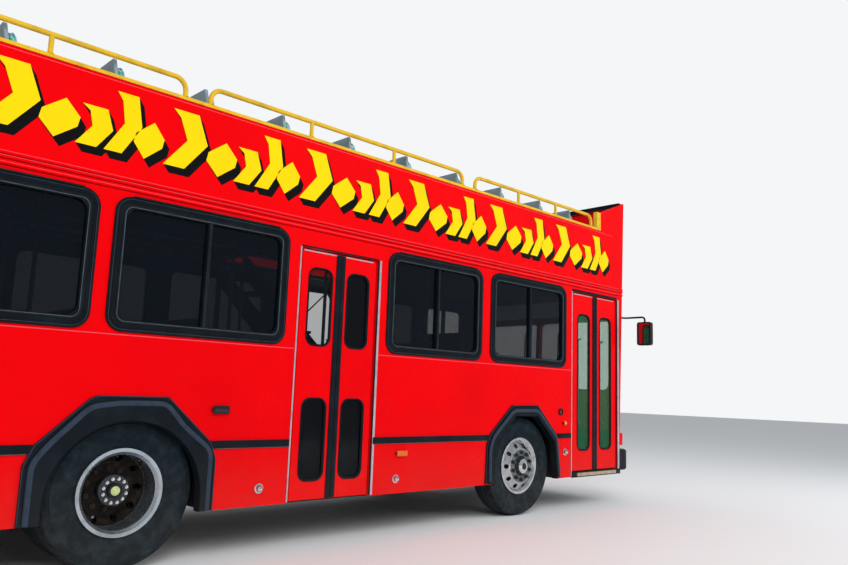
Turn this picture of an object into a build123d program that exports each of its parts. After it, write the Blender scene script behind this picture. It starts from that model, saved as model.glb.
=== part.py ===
from build123d import *
import os
from math import cos, radians, sin, tan

# Open top double decker bus on a high floor transit chassis.
# Millimetres, +X forward, +Y to the driver's side, +Z up, ground at z = 0.
# The origin lies on the ground under the middle of the overall length and width.
os.makedirs("parts", exist_ok=True)

# Overall layout along the bus
WHEELBASE = 4343
FRONT_OVERHANG = 2207
REAR_OVERHANG = 2780
LENGTH = REAR_OVERHANG + WHEELBASE + FRONT_OVERHANG
REAR_AXLE_X = REAR_OVERHANG - LENGTH / 2
FRONT_AXLE_X = REAR_AXLE_X + WHEELBASE
FRONT_TIP_X = LENGTH / 2
REAR_TIP_X = -LENGTH / 2

# Body shell
WIDTH = 2590
HALF_WIDTH = WIDTH / 2
SIDE_WALL = 40
END_WALL = 60
INNER_HALF = HALF_WIDTH - SIDE_WALL
REAR_BUMPER_DEPTH = 80
REAR_FACE_X = REAR_TIP_X + REAR_BUMPER_DEPTH
FRONT_FOOT_X = REAR_AXLE_X + 6243
FRONT_LEAN = 2.15
SKIRT_Z = 364
FLOOR_Z = 885
FLOOR_THICK = 50
WINDOW_FOOT_Z = 1615
WINDOW_HEAD_Z = 2570
WALL_TOP_Z = 2700
UPPER_FLOOR_Z = 2760
UPPER_FLOOR_THICK = 90
UPPER_PANEL_TOP_Z = 3393
NOSE_TOP_Z = 3865
CORNER_RADIUS = 45

# Wheels and axles
TYRE_RADIUS = 525
TYRE_WIDTH = 280
TYRE_INSET = 50
DUAL_SPACING = 330
BEAD_RADIUS = 285
FLANGE_RADIUS = 298.5
RIM_WIDTH = 210
KINGPIN_INSET = 250
SPINDLE_RADIUS = 35
RUNNING_FIT = 0.05
SEAT_GAP = 0.3
HAND_HOLES = 10
HAND_HOLE_RADIUS = 24
HAND_HOLE_CIRCLE = 221
FRONT_BORE_END = -20
REAR_BORE_END = 180
SPINDLE_END_GAP = 5

WHEEL_Z = TYRE_RADIUS
TYRE_OUTER_Y = HALF_WIDTH - TYRE_INSET
TYRE_MID_Y = TYRE_OUTER_Y - TYRE_WIDTH / 2
KINGPIN_Y = TYRE_OUTER_Y - KINGPIN_INSET

# Chassis
RAIL_Y = 430
RAIL_WIDTH = 80
RAIL_HEIGHT = 200
RAIL_TOP_Z = FLOOR_Z - FLOOR_THICK
RAIL_FOOT_Z = RAIL_TOP_Z - RAIL_HEIGHT

SIDES = (("right", -1), ("left", 1))


def front_x(z):
    """X of the leaning front face at height z."""
    return FRONT_FOOT_X + z * tan(radians(FRONT_LEAN))


def along(distance):
    """X at a distance ahead of the rear axle."""
    return REAR_AXLE_X + distance


def side_plane(side, depth):
    """Upright plane at a distance from the centre line, X to the right and Z up."""
    return Plane.XZ.offset(-side * depth)


# Side windows: rear edge and front edge, ahead of the rear axle
WINDOW_CORNER = 120
RIGHT_WINDOWS = ((-1810, -350), (-251, 1193), (2280, 3603), (3731, 5094))
LEFT_WINDOWS = ((-1810, -350), (-251, 1193), (1292, 2615), (2714, 3632), (3731, 5094), (5193, 6080))
SIDE_WINDOWS = {"right": RIGHT_WINDOWS, "left": LEFT_WINDOWS}
FRAME_BAND = 85
FRAME_PROUD = 8
MULLION = 40
GLASS = 6

# Doors in the right side wall: edges ahead of the rear axle, heights, and how far out the first step reaches
FIRST_STEP_Z = 405
DOOR_COLUMNS = ("name", "x0", "x1", "head", "foot", "pin_foot", "tread_edge", "panes", "pane_margin")
DOORS = [
    dict(zip(DOOR_COLUMNS, row))
    for row in (
        ("rear", 1312, 2152, 2456, 378, 378, INNER_HALF - 10, ((530, 1194), (1638, 2291)), 72),
        ("front", 5220, 6190, 2545, 432, FIRST_STEP_Z + SEAT_GAP, HALF_WIDTH - 5, ((665, 2280),), 100),
    )
]
DOOR_THICK = 35
DOOR_RECESS = 5
HINGE_FROM_JAMB = 28
HINGE_PIN = 9
LEAF_PAST_HINGE = 12
LEAF_GAP = 10
PANE_CORNER = 75
HINGE_Y = HALF_WIDTH - DOOR_RECESS - DOOR_THICK / 2
STEP_RISE = 240
STEP_TREAD = 290
STEP_PLATE = 45

# Wheel arches in a side wall, from the wheel centre: (x, z) of the opening and of the trim
REAR_ARCH_RADIUS = 540
REAR_ARCH_Z = 475
FRONT_ARCH_OPENING = (
    (-535, 375), (-535, 660), (-470, 802), (-190, 1062), (190, 1062), (520, 771), (572, 409),
)
REAR_ARCH_TRIM = (
    (-668, 367), (-668, 732), (-616, 859), (-294, 1161), (-242, 1182),
    (251, 1182), (606, 860), (653, 736), (653, 367),
)
FRONT_ARCH_TRIM = (
    (-650, 375), (-632, 773), (-577, 881), (-232, 1174), (215, 1180), (586, 842), (645, 381),
)
ARCH_TRIM_PROUD = 14
ARCH_BEAD_PROUD = 32
REAR_ARCH_BEAD = (
    (-617, 367), (-617, 747), (-533, 857), (-289, 1106), (-96, 1132),
    (234, 1132), (375, 974), (600, 799), (600, 367),
)
FRONT_ARCH_BEAD = (
    (-590, 375), (-590, 740), (-535, 850), (-215, 1118), (203, 1120), (555, 812), (610, 395),
)


def arch_opening(axle_x, is_front):
    """Outline of the hole in the side wall over a wheel, in the plane of the wall."""
    if is_front:
        points = [(axle_x + x, z) for x, z in FRONT_ARCH_OPENING]
        Polyline((points[0][0], SKIRT_Z - 50), *points, (points[-1][0], SKIRT_Z - 50), close=True)
    else:
        foot_z = SKIRT_Z - 50
        left = Line((axle_x - REAR_ARCH_RADIUS, foot_z), (axle_x - REAR_ARCH_RADIUS, REAR_ARCH_Z))
        ThreePointArc(
            left @ 1,
            (axle_x, REAR_ARCH_Z + REAR_ARCH_RADIUS),
            (axle_x + REAR_ARCH_RADIUS, REAR_ARCH_Z),
        )
        right = Line((axle_x + REAR_ARCH_RADIUS, REAR_ARCH_Z), (axle_x + REAR_ARCH_RADIUS, foot_z))
        Line(right @ 1, left @ 0)


def save(part, name):
    """Label a finished piece and write it to its own file."""
    part.label = name
    export_step(part, f"parts/{name}.step")


# Side walls of the lower deck, each with its window, door and arch openings
CORNICE_RIDGES = (2618, 2660, 2688)
CORNICE_RADIUS = 12
for side_name, side in SIDES:
    with BuildPart() as side_wall:
        with BuildSketch(side_plane(side, INNER_HALF)):
            with BuildLine():
                Polyline(
                    (REAR_FACE_X, SKIRT_Z),
                    (front_x(SKIRT_Z), SKIRT_Z),
                    (front_x(WALL_TOP_Z), WALL_TOP_Z),
                    (REAR_FACE_X, WALL_TOP_Z),
                    close=True,
                )
            make_face()
            for x0, x1 in SIDE_WINDOWS[side_name]:
                with Locations((along((x0 + x1) / 2), (WINDOW_FOOT_Z + WINDOW_HEAD_Z) / 2)):
                    RectangleRounded(
                        x1 - x0, WINDOW_HEAD_Z - WINDOW_FOOT_Z, WINDOW_CORNER, mode=Mode.SUBTRACT
                    )
            if side_name == "right":
                for door in DOORS:
                    height = door["head"] - SKIRT_Z + 50
                    with Locations((along((door["x0"] + door["x1"]) / 2), door["head"] - height / 2)):
                        Rectangle(door["x1"] - door["x0"], height, mode=Mode.SUBTRACT)
        extrude(amount=-side * SIDE_WALL)
        for axle_x, is_front in ((REAR_AXLE_X, False), (FRONT_AXLE_X, True)):
            with BuildSketch(side_plane(side, INNER_HALF)):
                with BuildLine():
                    arch_opening(axle_x, is_front)
                make_face()
            extrude(amount=-side * SIDE_WALL, mode=Mode.SUBTRACT)
        for ridge_z in CORNICE_RIDGES:
            with BuildSketch(Plane.YZ.offset(REAR_FACE_X)):
                with Locations((side * HALF_WIDTH, ridge_z)):
                    Circle(CORNICE_RADIUS)
                with Locations((side * (HALF_WIDTH - CORNICE_RADIUS), ridge_z)):
                    Rectangle(2 * CORNICE_RADIUS, 2 * CORNICE_RADIUS, mode=Mode.SUBTRACT)
            extrude(amount=front_x(ridge_z - CORNICE_RADIUS) - REAR_FACE_X)
    save(side_wall.part, f"side_wall_{side_name}")


# Front wall: leaning panel between the side walls, with the windscreen and the blank sign
FRONT_WALL_FOOT_Z = 645
SCREEN_FOOT_Z = 1390
SCREEN_HEAD_Z = 2290
SCREEN_HALF = 1150
SCREEN_CORNER = 70
SIGN_FOOT_Z = 2370
SIGN_HEAD_Z = 2600
SIGN_HALF = 900
SIGN_CORNER = 40
CENTRE_POST = 60
LEAN = radians(FRONT_LEAN)
front_skin = Plane(
    origin=(FRONT_FOOT_X, 0, 0), x_dir=(0, 1, 0), z_dir=(cos(LEAN), 0, -sin(LEAN))
)


def up_front(z):
    """Distance along the leaning front face to height z."""
    return z / cos(LEAN)


def front_profile(foot_z, head_z, depth):
    """Leaning side profile of a front panel of a given depth."""
    Polyline(
        (front_x(foot_z), foot_z),
        (front_x(head_z), head_z),
        (front_x(head_z) - depth, head_z),
        (front_x(foot_z) - depth, foot_z),
        close=True,
    )


with BuildPart() as front_wall:
    with BuildSketch(Plane.XZ.offset(-INNER_HALF)):
        with BuildLine():
            front_profile(FRONT_WALL_FOOT_Z, WALL_TOP_Z, END_WALL)
        make_face()
    extrude(amount=2 * INNER_HALF)
    with BuildSketch(front_skin):
        for side_name, side in SIDES:
            pane_width = SCREEN_HALF - CENTRE_POST / 2
            with Locations(
                (side * (CENTRE_POST / 2 + pane_width / 2), up_front((SCREEN_FOOT_Z + SCREEN_HEAD_Z) / 2))
            ):
                RectangleRounded(pane_width, up_front(SCREEN_HEAD_Z - SCREEN_FOOT_Z), SCREEN_CORNER)
        with Locations((0, up_front((SIGN_FOOT_Z + SIGN_HEAD_Z) / 2))):
            RectangleRounded(2 * SIGN_HALF, up_front(SIGN_HEAD_Z - SIGN_FOOT_Z), SIGN_CORNER)
    extrude(amount=-2 * END_WALL, mode=Mode.SUBTRACT)
save(front_wall.part, "front_wall")

# Rear wall with the saloon rear window and the engine door opening
ENGINE_DOOR_HALF = 820
ENGINE_DOOR_FOOT_Z = 660
ENGINE_DOOR_HEAD_Z = 1250
REAR_GLASS_HALF = 880
REAR_GLASS_FOOT_Z = 1690
REAR_GLASS_HEAD_Z = 2450
REAR_GLASS_CORNER = 110
with BuildPart() as rear_wall:
    with BuildSketch(Plane.YZ.offset(REAR_FACE_X)):
        with Locations((0, (SKIRT_Z + WALL_TOP_Z) / 2)):
            Rectangle(2 * INNER_HALF, WALL_TOP_Z - SKIRT_Z)
        with Locations((0, (REAR_GLASS_FOOT_Z + REAR_GLASS_HEAD_Z) / 2)):
            RectangleRounded(
                2 * REAR_GLASS_HALF,
                REAR_GLASS_HEAD_Z - REAR_GLASS_FOOT_Z,
                REAR_GLASS_CORNER,
                mode=Mode.SUBTRACT,
            )
        with Locations((0, (ENGINE_DOOR_FOOT_Z + ENGINE_DOOR_HEAD_Z) / 2)):
            Rectangle(
                2 * ENGINE_DOOR_HALF, ENGINE_DOOR_HEAD_Z - ENGINE_DOOR_FOOT_Z, mode=Mode.SUBTRACT
            )
    extrude(amount=END_WALL)
save(rear_wall.part, "rear_wall")

# Engine door, hinged along its top edge behind the rear face
ENGINE_DOOR_THICK = 30
ENGINE_DOOR_GAP = 8
ENGINE_DOOR_PROUD = 6
ENGINE_HINGE_X = REAR_FACE_X
ENGINE_HINGE_Z = ENGINE_DOOR_HEAD_Z - ENGINE_DOOR_GAP - 12
ENGINE_HINGE_ROD = 5
LOUVRES = 6
LOUVRE_PITCH = 70
with BuildPart() as engine_door:
    with BuildSketch(Plane.YZ.offset(REAR_FACE_X - ENGINE_DOOR_PROUD)):
        door_height = ENGINE_DOOR_HEAD_Z - ENGINE_DOOR_FOOT_Z - 2 * ENGINE_DOOR_GAP
        with Locations((0, (ENGINE_DOOR_FOOT_Z + ENGINE_DOOR_HEAD_Z) / 2)):
            Rectangle(2 * ENGINE_DOOR_HALF - 2 * ENGINE_DOOR_GAP, door_height)
        with Locations((0, ENGINE_DOOR_FOOT_Z + door_height / 2 + 60)):
            with GridLocations(620, LOUVRE_PITCH, 2, LOUVRES):
                SlotOverall(540, 30, mode=Mode.SUBTRACT)
    extrude(amount=ENGINE_DOOR_THICK)
    with BuildSketch(Plane.XZ.offset(SEAT_GAP - ENGINE_DOOR_HALF)):
        with Locations((ENGINE_HINGE_X, ENGINE_HINGE_Z)):
            Circle(ENGINE_HINGE_ROD)
    extrude(amount=2 * (ENGINE_DOOR_HALF - SEAT_GAP))
save(engine_door.part, "engine_door")

# Lower floor: slab, stepped wells inside the doors, boxes over the wheels, raised rear deck
REAR_DECK_Z = 1290
REAR_DECK_FRONT_X = along(-1250)
WHEEL_BOX_TOP_Z = 1190
WHEEL_BOX_PLATE = 20
REAR_BOX_HALF = 620
REAR_BOX_INNER_Y = 590
FRONT_BOX_REAR = 600
FRONT_BOX_FRONT = 640
FRONT_BOX_INNER_Y = 585
CHEEK = 15
FLOOR_FOOT_Z = FLOOR_Z - FLOOR_THICK
FLOOR_FRONT_X = front_x(FLOOR_FOOT_Z) - END_WALL
WHEEL_BOXES = (
    (REAR_AXLE_X - REAR_BOX_HALF, REAR_AXLE_X + REAR_BOX_HALF, REAR_BOX_INNER_Y),
    (FRONT_AXLE_X - FRONT_BOX_REAR, FRONT_AXLE_X + FRONT_BOX_FRONT, FRONT_BOX_INNER_Y),
)
with BuildPart() as lower_floor:
    with BuildSketch(Plane.XZ.offset(-INNER_HALF)):
        with BuildLine():
            Polyline(
                (REAR_FACE_X + END_WALL, REAR_DECK_Z),
                (REAR_DECK_FRONT_X, REAR_DECK_Z),
                (REAR_DECK_FRONT_X, FLOOR_Z),
                (front_x(FLOOR_Z) - END_WALL, FLOOR_Z),
                (FLOOR_FRONT_X, FLOOR_FOOT_Z),
                (REAR_DECK_FRONT_X - FLOOR_THICK, FLOOR_FOOT_Z),
                (REAR_DECK_FRONT_X - FLOOR_THICK, REAR_DECK_Z - FLOOR_THICK),
                (REAR_FACE_X + END_WALL, REAR_DECK_Z - FLOOR_THICK),
                close=True,
            )
        make_face()
    extrude(amount=2 * INNER_HALF)
    for box_rear, box_front, inner_y in WHEEL_BOXES:
        box_length = box_front - box_rear
        for side_name, side in SIDES:
            box_mid_y = side * (INNER_HALF + inner_y) / 2
            with BuildSketch(Plane.XY.offset(FLOOR_FOOT_Z)):
                with Locations(((box_rear + box_front) / 2, box_mid_y)):
                    Rectangle(box_length, INNER_HALF - inner_y)
            extrude(amount=WHEEL_BOX_TOP_Z - FLOOR_FOOT_Z)
    for box_rear, box_front, inner_y in WHEEL_BOXES:
        box_length = box_front - box_rear - 2 * WHEEL_BOX_PLATE
        for side_name, side in SIDES:
            hollow_width = INNER_HALF - inner_y - WHEEL_BOX_PLATE
            with BuildSketch(Plane.XY.offset(FLOOR_FOOT_Z)):
                with Locations(((box_rear + box_front) / 2, side * (INNER_HALF - hollow_width / 2))):
                    Rectangle(box_length, hollow_width)
            extrude(amount=WHEEL_BOX_TOP_Z - FLOOR_FOOT_Z - WHEEL_BOX_PLATE, mode=Mode.SUBTRACT)
    for door in DOORS:
        x0 = along(door["x0"])
        x1 = along(door["x1"])
        mid_tread_y = HALF_WIDTH - STEP_TREAD - 25
        back_y = mid_tread_y - STEP_TREAD
        with BuildSketch(Plane.XY.offset(FLOOR_FOOT_Z)):
            with Locations(((x0 + x1) / 2, -(INNER_HALF + back_y) / 2)):
                Rectangle(x1 - x0, INNER_HALF - back_y)
        extrude(amount=FLOOR_THICK, mode=Mode.SUBTRACT)
        with BuildSketch(Plane.YZ.offset(x0)):
            with BuildLine():
                Polyline(
                    (-door["tread_edge"], FIRST_STEP_Z - STEP_PLATE),
                    (-door["tread_edge"], FIRST_STEP_Z),
                    (-mid_tread_y, FIRST_STEP_Z),
                    (-mid_tread_y, FIRST_STEP_Z + STEP_RISE),
                    (-back_y, FIRST_STEP_Z + STEP_RISE),
                    (-back_y, FLOOR_Z),
                    (-back_y + STEP_PLATE, FLOOR_Z),
                    (-back_y + STEP_PLATE, FIRST_STEP_Z + STEP_RISE - STEP_PLATE),
                    (-mid_tread_y + STEP_PLATE, FIRST_STEP_Z + STEP_RISE - STEP_PLATE),
                    (-mid_tread_y + STEP_PLATE, FIRST_STEP_Z - STEP_PLATE),
                    close=True,
                )
            make_face()
        extrude(amount=x1 - x0)
        for cheek_x in (x0 - CHEEK, x1):
            with BuildSketch(Plane.YZ.offset(cheek_x)):
                cheek_foot_z = FIRST_STEP_Z - STEP_PLATE
                cheek_back_y = back_y - STEP_PLATE
                with Locations((-(INNER_HALF + cheek_back_y) / 2, (cheek_foot_z + FLOOR_Z) / 2)):
                    Rectangle(INNER_HALF - cheek_back_y, FLOOR_Z - cheek_foot_z)
            extrude(amount=CHEEK)
save(lower_floor.part, "lower_floor")

# Upper floor with the stairwell opening
STAIR_INNER_Y = 600
STAIR_FOOT_X = along(3640)
STAIR_HEAD_X = along(1900)
STAIRWELL_FRONT_X = along(3560)
UPPER_FLOOR_FOOT_Z = UPPER_FLOOR_Z - UPPER_FLOOR_THICK
with BuildPart() as upper_floor:
    with BuildSketch(Plane.XY.offset(UPPER_FLOOR_FOOT_Z)):
        floor_front_x = front_x(UPPER_FLOOR_FOOT_Z) - END_WALL
        with Locations(((REAR_FACE_X + END_WALL + floor_front_x) / 2, 0)):
            Rectangle(floor_front_x - REAR_FACE_X - END_WALL, 2 * INNER_HALF)
        with Locations(((STAIR_HEAD_X + STAIRWELL_FRONT_X) / 2, (STAIR_INNER_Y + INNER_HALF) / 2)):
            Rectangle(
                STAIRWELL_FRONT_X - STAIR_HEAD_X, INNER_HALF - STAIR_INNER_Y, mode=Mode.SUBTRACT
            )
    extrude(amount=UPPER_FLOOR_THICK)
save(upper_floor.part, "upper_floor")

# Stairs to the upper deck: treads between two stringers over the left front wheel box
STAIR_TREADS = 8
TREAD_THICK = 30
STRINGER = 30
STRINGER_HEIGHT = 220
stair_rise = (UPPER_FLOOR_Z - FLOOR_Z) / (STAIR_TREADS + 1)
stair_going = (STAIR_FOOT_X - STAIR_HEAD_X) / (STAIR_TREADS + 1)
with BuildPart() as stairs:
    for stringer_y in (STAIR_INNER_Y + STRINGER, INNER_HALF):
        with BuildSketch(Plane.XZ.offset(-stringer_y)):
            with BuildLine():
                Polyline(
                    (STAIR_FOOT_X, FLOOR_Z),
                    (STAIR_FOOT_X, FLOOR_Z + STRINGER_HEIGHT),
                    (STAIR_HEAD_X, UPPER_FLOOR_FOOT_Z),
                    (STAIR_HEAD_X, UPPER_FLOOR_FOOT_Z - STRINGER_HEIGHT),
                    (STAIR_FOOT_X - STRINGER_HEIGHT, FLOOR_Z),
                    close=True,
                )
            make_face()
        extrude(amount=STRINGER)
    for step in range(1, STAIR_TREADS + 1):
        tread_z = FLOOR_Z + step * stair_rise
        tread_x = STAIR_FOOT_X - step * stair_going
        with BuildSketch(Plane.XY.offset(tread_z - TREAD_THICK)):
            with Locations((tread_x, (STAIR_INNER_Y + INNER_HALF) / 2)):
                Rectangle(stair_going + 40, INNER_HALF - STAIR_INNER_Y)
        extrude(amount=TREAD_THICK)
save(stairs.part, "stairs")


# Upper deck sides: low panels that rise into a wing at the nose
UPPER_WALL = 35
UPPER_INNER_HALF = HALF_WIDTH - UPPER_WALL
WING_REAR_X = along(5824)
WING_POST_WIDTH = 84
WING_POST_TOP_Z = 3625
COPING_HEIGHT = 25
COPING_OVERHANG = 8
for side_name, side in SIDES:
    with BuildPart() as upper_side:
        with BuildSketch(side_plane(side, UPPER_INNER_HALF)):
            with BuildLine():
                Polyline(
                    (REAR_FACE_X, WALL_TOP_Z),
                    (front_x(WALL_TOP_Z), WALL_TOP_Z),
                    (front_x(NOSE_TOP_Z), NOSE_TOP_Z),
                    (WING_REAR_X, WING_POST_TOP_Z),
                    (WING_REAR_X, UPPER_PANEL_TOP_Z),
                    (REAR_FACE_X, UPPER_PANEL_TOP_Z),
                    close=True,
                )
            make_face()
        extrude(amount=-side * UPPER_WALL)
    save(upper_side.part, f"upper_side_{side_name}")

# Upper front wall with a folded top lip, and upper rear wall
UPPER_FRONT_WALL = 40
NOSE_LIP_HEIGHT = 60
NOSE_LIP_DEPTH = 70
with BuildPart() as upper_front_wall:
    with BuildSketch(Plane.XZ.offset(-UPPER_INNER_HALF)):
        with BuildLine():
            front_profile(WALL_TOP_Z, NOSE_TOP_Z, UPPER_FRONT_WALL)
        make_face()
        with BuildLine():
            front_profile(NOSE_TOP_Z - NOSE_LIP_HEIGHT, NOSE_TOP_Z, NOSE_LIP_DEPTH)
        make_face()
    extrude(amount=2 * UPPER_INNER_HALF)
save(upper_front_wall.part, "upper_front_wall")

UPPER_REAR_WALL = 40
with BuildPart() as upper_rear_wall:
    with BuildSketch(Plane.YZ.offset(REAR_FACE_X)):
        with Locations((0, (WALL_TOP_Z + UPPER_PANEL_TOP_Z) / 2)):
            Rectangle(2 * UPPER_INNER_HALF, UPPER_PANEL_TOP_Z - WALL_TOP_Z)
    extrude(amount=UPPER_REAR_WALL)
save(upper_rear_wall.part, "upper_rear_wall")

# Coping on the upper deck panels, with the posts and tubes of the guard rail
RAIL_TUBE = 19
POST_TUBE = 17
RAIL_Z = 3558
RAIL_BEND = 90
COPING_TOP_Z = UPPER_PANEL_TOP_Z + COPING_HEIGHT
COPING_MID_Y = HALF_WIDTH - UPPER_WALL / 2
RAIL_RUNS = (
    (-2560, 190, (-1750, -770)),
    (400, 3260, (1350, 2305)),
    (3455, 5640, (4190, 4890)),
)
REAR_RAIL_HALF = 1180
REAR_RAIL_X = REAR_FACE_X + UPPER_REAR_WALL / 2
with BuildPart() as guard_rails:
    with BuildSketch(Plane.XY.offset(UPPER_PANEL_TOP_Z)):
        with BuildLine():
            Polyline(
                (WING_REAR_X, HALF_WIDTH + COPING_OVERHANG),
                (REAR_FACE_X - COPING_OVERHANG, HALF_WIDTH + COPING_OVERHANG),
                (REAR_FACE_X - COPING_OVERHANG, -HALF_WIDTH - COPING_OVERHANG),
                (WING_REAR_X, -HALF_WIDTH - COPING_OVERHANG),
                (WING_REAR_X, -UPPER_INNER_HALF + COPING_OVERHANG),
                (REAR_FACE_X + UPPER_REAR_WALL + COPING_OVERHANG, -UPPER_INNER_HALF + COPING_OVERHANG),
                (REAR_FACE_X + UPPER_REAR_WALL + COPING_OVERHANG, UPPER_INNER_HALF - COPING_OVERHANG),
                (WING_REAR_X, UPPER_INNER_HALF - COPING_OVERHANG),
                close=True,
            )
        make_face()
    extrude(amount=COPING_HEIGHT)
    for side_name, side in SIDES:
        rail_y = side * COPING_MID_Y
        for run_rear, run_front, posts in RAIL_RUNS:
            with BuildLine() as run_path:
                FilletPolyline(
                    (along(run_rear), rail_y, COPING_TOP_Z),
                    (along(run_rear), rail_y, RAIL_Z),
                    (along(run_front), rail_y, RAIL_Z),
                    (along(run_front), rail_y, COPING_TOP_Z),
                    radius=RAIL_BEND,
                )
            with BuildSketch(Plane((along(run_rear), rail_y, COPING_TOP_Z))):
                Circle(RAIL_TUBE)
            sweep(path=run_path.line)
            with BuildSketch(Plane.XY.offset(COPING_TOP_Z)):
                with Locations(*[(along(post_x), rail_y) for post_x in posts]):
                    Circle(POST_TUBE)
            extrude(amount=RAIL_Z - COPING_TOP_Z)
        with BuildSketch(Plane.XY.offset(COPING_TOP_Z)):
            with Locations((WING_REAR_X - WING_POST_WIDTH / 2, rail_y)):
                Rectangle(WING_POST_WIDTH, UPPER_WALL + 2 * COPING_OVERHANG)
        extrude(amount=WING_POST_TOP_Z - COPING_TOP_Z)
    with BuildLine() as rear_path:
        FilletPolyline(
            (REAR_RAIL_X, -REAR_RAIL_HALF, COPING_TOP_Z),
            (REAR_RAIL_X, -REAR_RAIL_HALF, RAIL_Z),
            (REAR_RAIL_X, REAR_RAIL_HALF, RAIL_Z),
            (REAR_RAIL_X, REAR_RAIL_HALF, COPING_TOP_Z),
            radius=RAIL_BEND,
        )
    with BuildSketch(Plane((REAR_RAIL_X, -REAR_RAIL_HALF, COPING_TOP_Z))):
        Circle(RAIL_TUBE)
    sweep(path=rear_path.line)
    with BuildSketch(Plane.XY.offset(COPING_TOP_Z)):
        with Locations((REAR_RAIL_X, -400), (REAR_RAIL_X, 400)):
            Circle(POST_TUBE)
    extrude(amount=RAIL_Z - COPING_TOP_Z)
save(guard_rails.part, "guard_rails")

# Rubber window frames in the side walls, and the panes that they hold
FRAME_DEPTH = SIDE_WALL + FRAME_PROUD
GLASS_DEPTH = HALF_WIDTH - SIDE_WALL / 2 - GLASS / 2
with BuildPart() as window_frames:
    for side_name, side in SIDES:
        for x0, x1 in SIDE_WINDOWS[side_name]:
            frame_width = x1 - x0
            frame_height = WINDOW_HEAD_Z - WINDOW_FOOT_Z
            pane_width = frame_width - 2 * FRAME_BAND
            with BuildSketch(side_plane(side, INNER_HALF)):
                with Locations((along((x0 + x1) / 2), (WINDOW_FOOT_Z + WINDOW_HEAD_Z) / 2)):
                    RectangleRounded(frame_width, frame_height, WINDOW_CORNER)
                    RectangleRounded(
                        pane_width,
                        frame_height - 2 * FRAME_BAND,
                        WINDOW_CORNER - FRAME_BAND / 2,
                        mode=Mode.SUBTRACT,
                    )
                    Rectangle(MULLION, frame_height - FRAME_BAND)
            extrude(amount=-side * FRAME_DEPTH)
save(window_frames.part, "window_frames")

with BuildPart() as window_glass:
    for side_name, side in SIDES:
        for x0, x1 in SIDE_WINDOWS[side_name]:
            pane_height = WINDOW_HEAD_Z - WINDOW_FOOT_Z - 2 * FRAME_BAND
            with BuildSketch(side_plane(side, GLASS_DEPTH)):
                with Locations((along((x0 + x1) / 2), (WINDOW_FOOT_Z + WINDOW_HEAD_Z) / 2)):
                    RectangleRounded(
                        x1 - x0 - 2 * FRAME_BAND, pane_height, WINDOW_CORNER - FRAME_BAND / 2
                    )
                    Rectangle(MULLION, pane_height, mode=Mode.SUBTRACT)
            extrude(amount=-side * GLASS)
    with BuildSketch(front_skin.offset(-END_WALL / 2)):
        for side_name, side in SIDES:
            pane_width = SCREEN_HALF - CENTRE_POST / 2
            with Locations(
                (side * (CENTRE_POST / 2 + pane_width / 2), up_front((SCREEN_FOOT_Z + SCREEN_HEAD_Z) / 2))
            ):
                RectangleRounded(pane_width, up_front(SCREEN_HEAD_Z - SCREEN_FOOT_Z), SCREEN_CORNER)
        with Locations((0, up_front((SIGN_FOOT_Z + SIGN_HEAD_Z) / 2))):
            RectangleRounded(2 * SIGN_HALF, up_front(SIGN_HEAD_Z - SIGN_FOOT_Z), SIGN_CORNER)
    extrude(amount=GLASS)
    with BuildSketch(Plane.YZ.offset(REAR_FACE_X + END_WALL / 2)):
        with Locations((0, (REAR_GLASS_FOOT_Z + REAR_GLASS_HEAD_Z) / 2)):
            RectangleRounded(
                2 * REAR_GLASS_HALF, REAR_GLASS_HEAD_Z - REAR_GLASS_FOOT_Z, REAR_GLASS_CORNER
            )
    extrude(amount=GLASS)
save(window_glass.part, "window_glass")

# Rubber trims round the wheel arches: a flat band with a raised bead along the opening
with BuildPart() as arch_trims:
    for side_name, side in SIDES:
        for axle_x, is_front in ((REAR_AXLE_X, False), (FRONT_AXLE_X, True)):
            trim_points = FRONT_ARCH_TRIM if is_front else REAR_ARCH_TRIM
            bead_points = FRONT_ARCH_BEAD if is_front else REAR_ARCH_BEAD
            for points, proud in ((trim_points, ARCH_TRIM_PROUD), (bead_points, ARCH_BEAD_PROUD)):
                with BuildSketch(side_plane(side, HALF_WIDTH)):
                    with BuildLine():
                        Polyline(*[(axle_x + x, z) for x, z in points], close=True)
                    make_face()
                    with BuildLine():
                        arch_opening(axle_x, is_front)
                    make_face(mode=Mode.SUBTRACT)
                extrude(amount=-side * proud)
save(arch_trims.part, "arch_trims")

# Rub rails along the sides, between arches, doors and corners
RUB_RAIL_FOOT_Z = 812
RUB_RAIL_HEAD_Z = 867
RUB_RAIL_PROUD = 14
RUB_RAILS = {
    "right": ((-2680, -654), (650, 1290), (2175, 3715)),
    "left": ((-2680, -654), (650, 3715), (4940, 6240)),
}
with BuildPart() as rub_rails:
    for side_name, side in SIDES:
        with BuildSketch(side_plane(side, HALF_WIDTH)):
            for x0, x1 in RUB_RAILS[side_name]:
                with Locations((along((x0 + x1) / 2), (RUB_RAIL_FOOT_Z + RUB_RAIL_HEAD_Z) / 2)):
                    Rectangle(x1 - x0, RUB_RAIL_HEAD_Z - RUB_RAIL_FOOT_Z)
        extrude(amount=-side * RUB_RAIL_PROUD)
save(rub_rails.part, "rub_rails")

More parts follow.
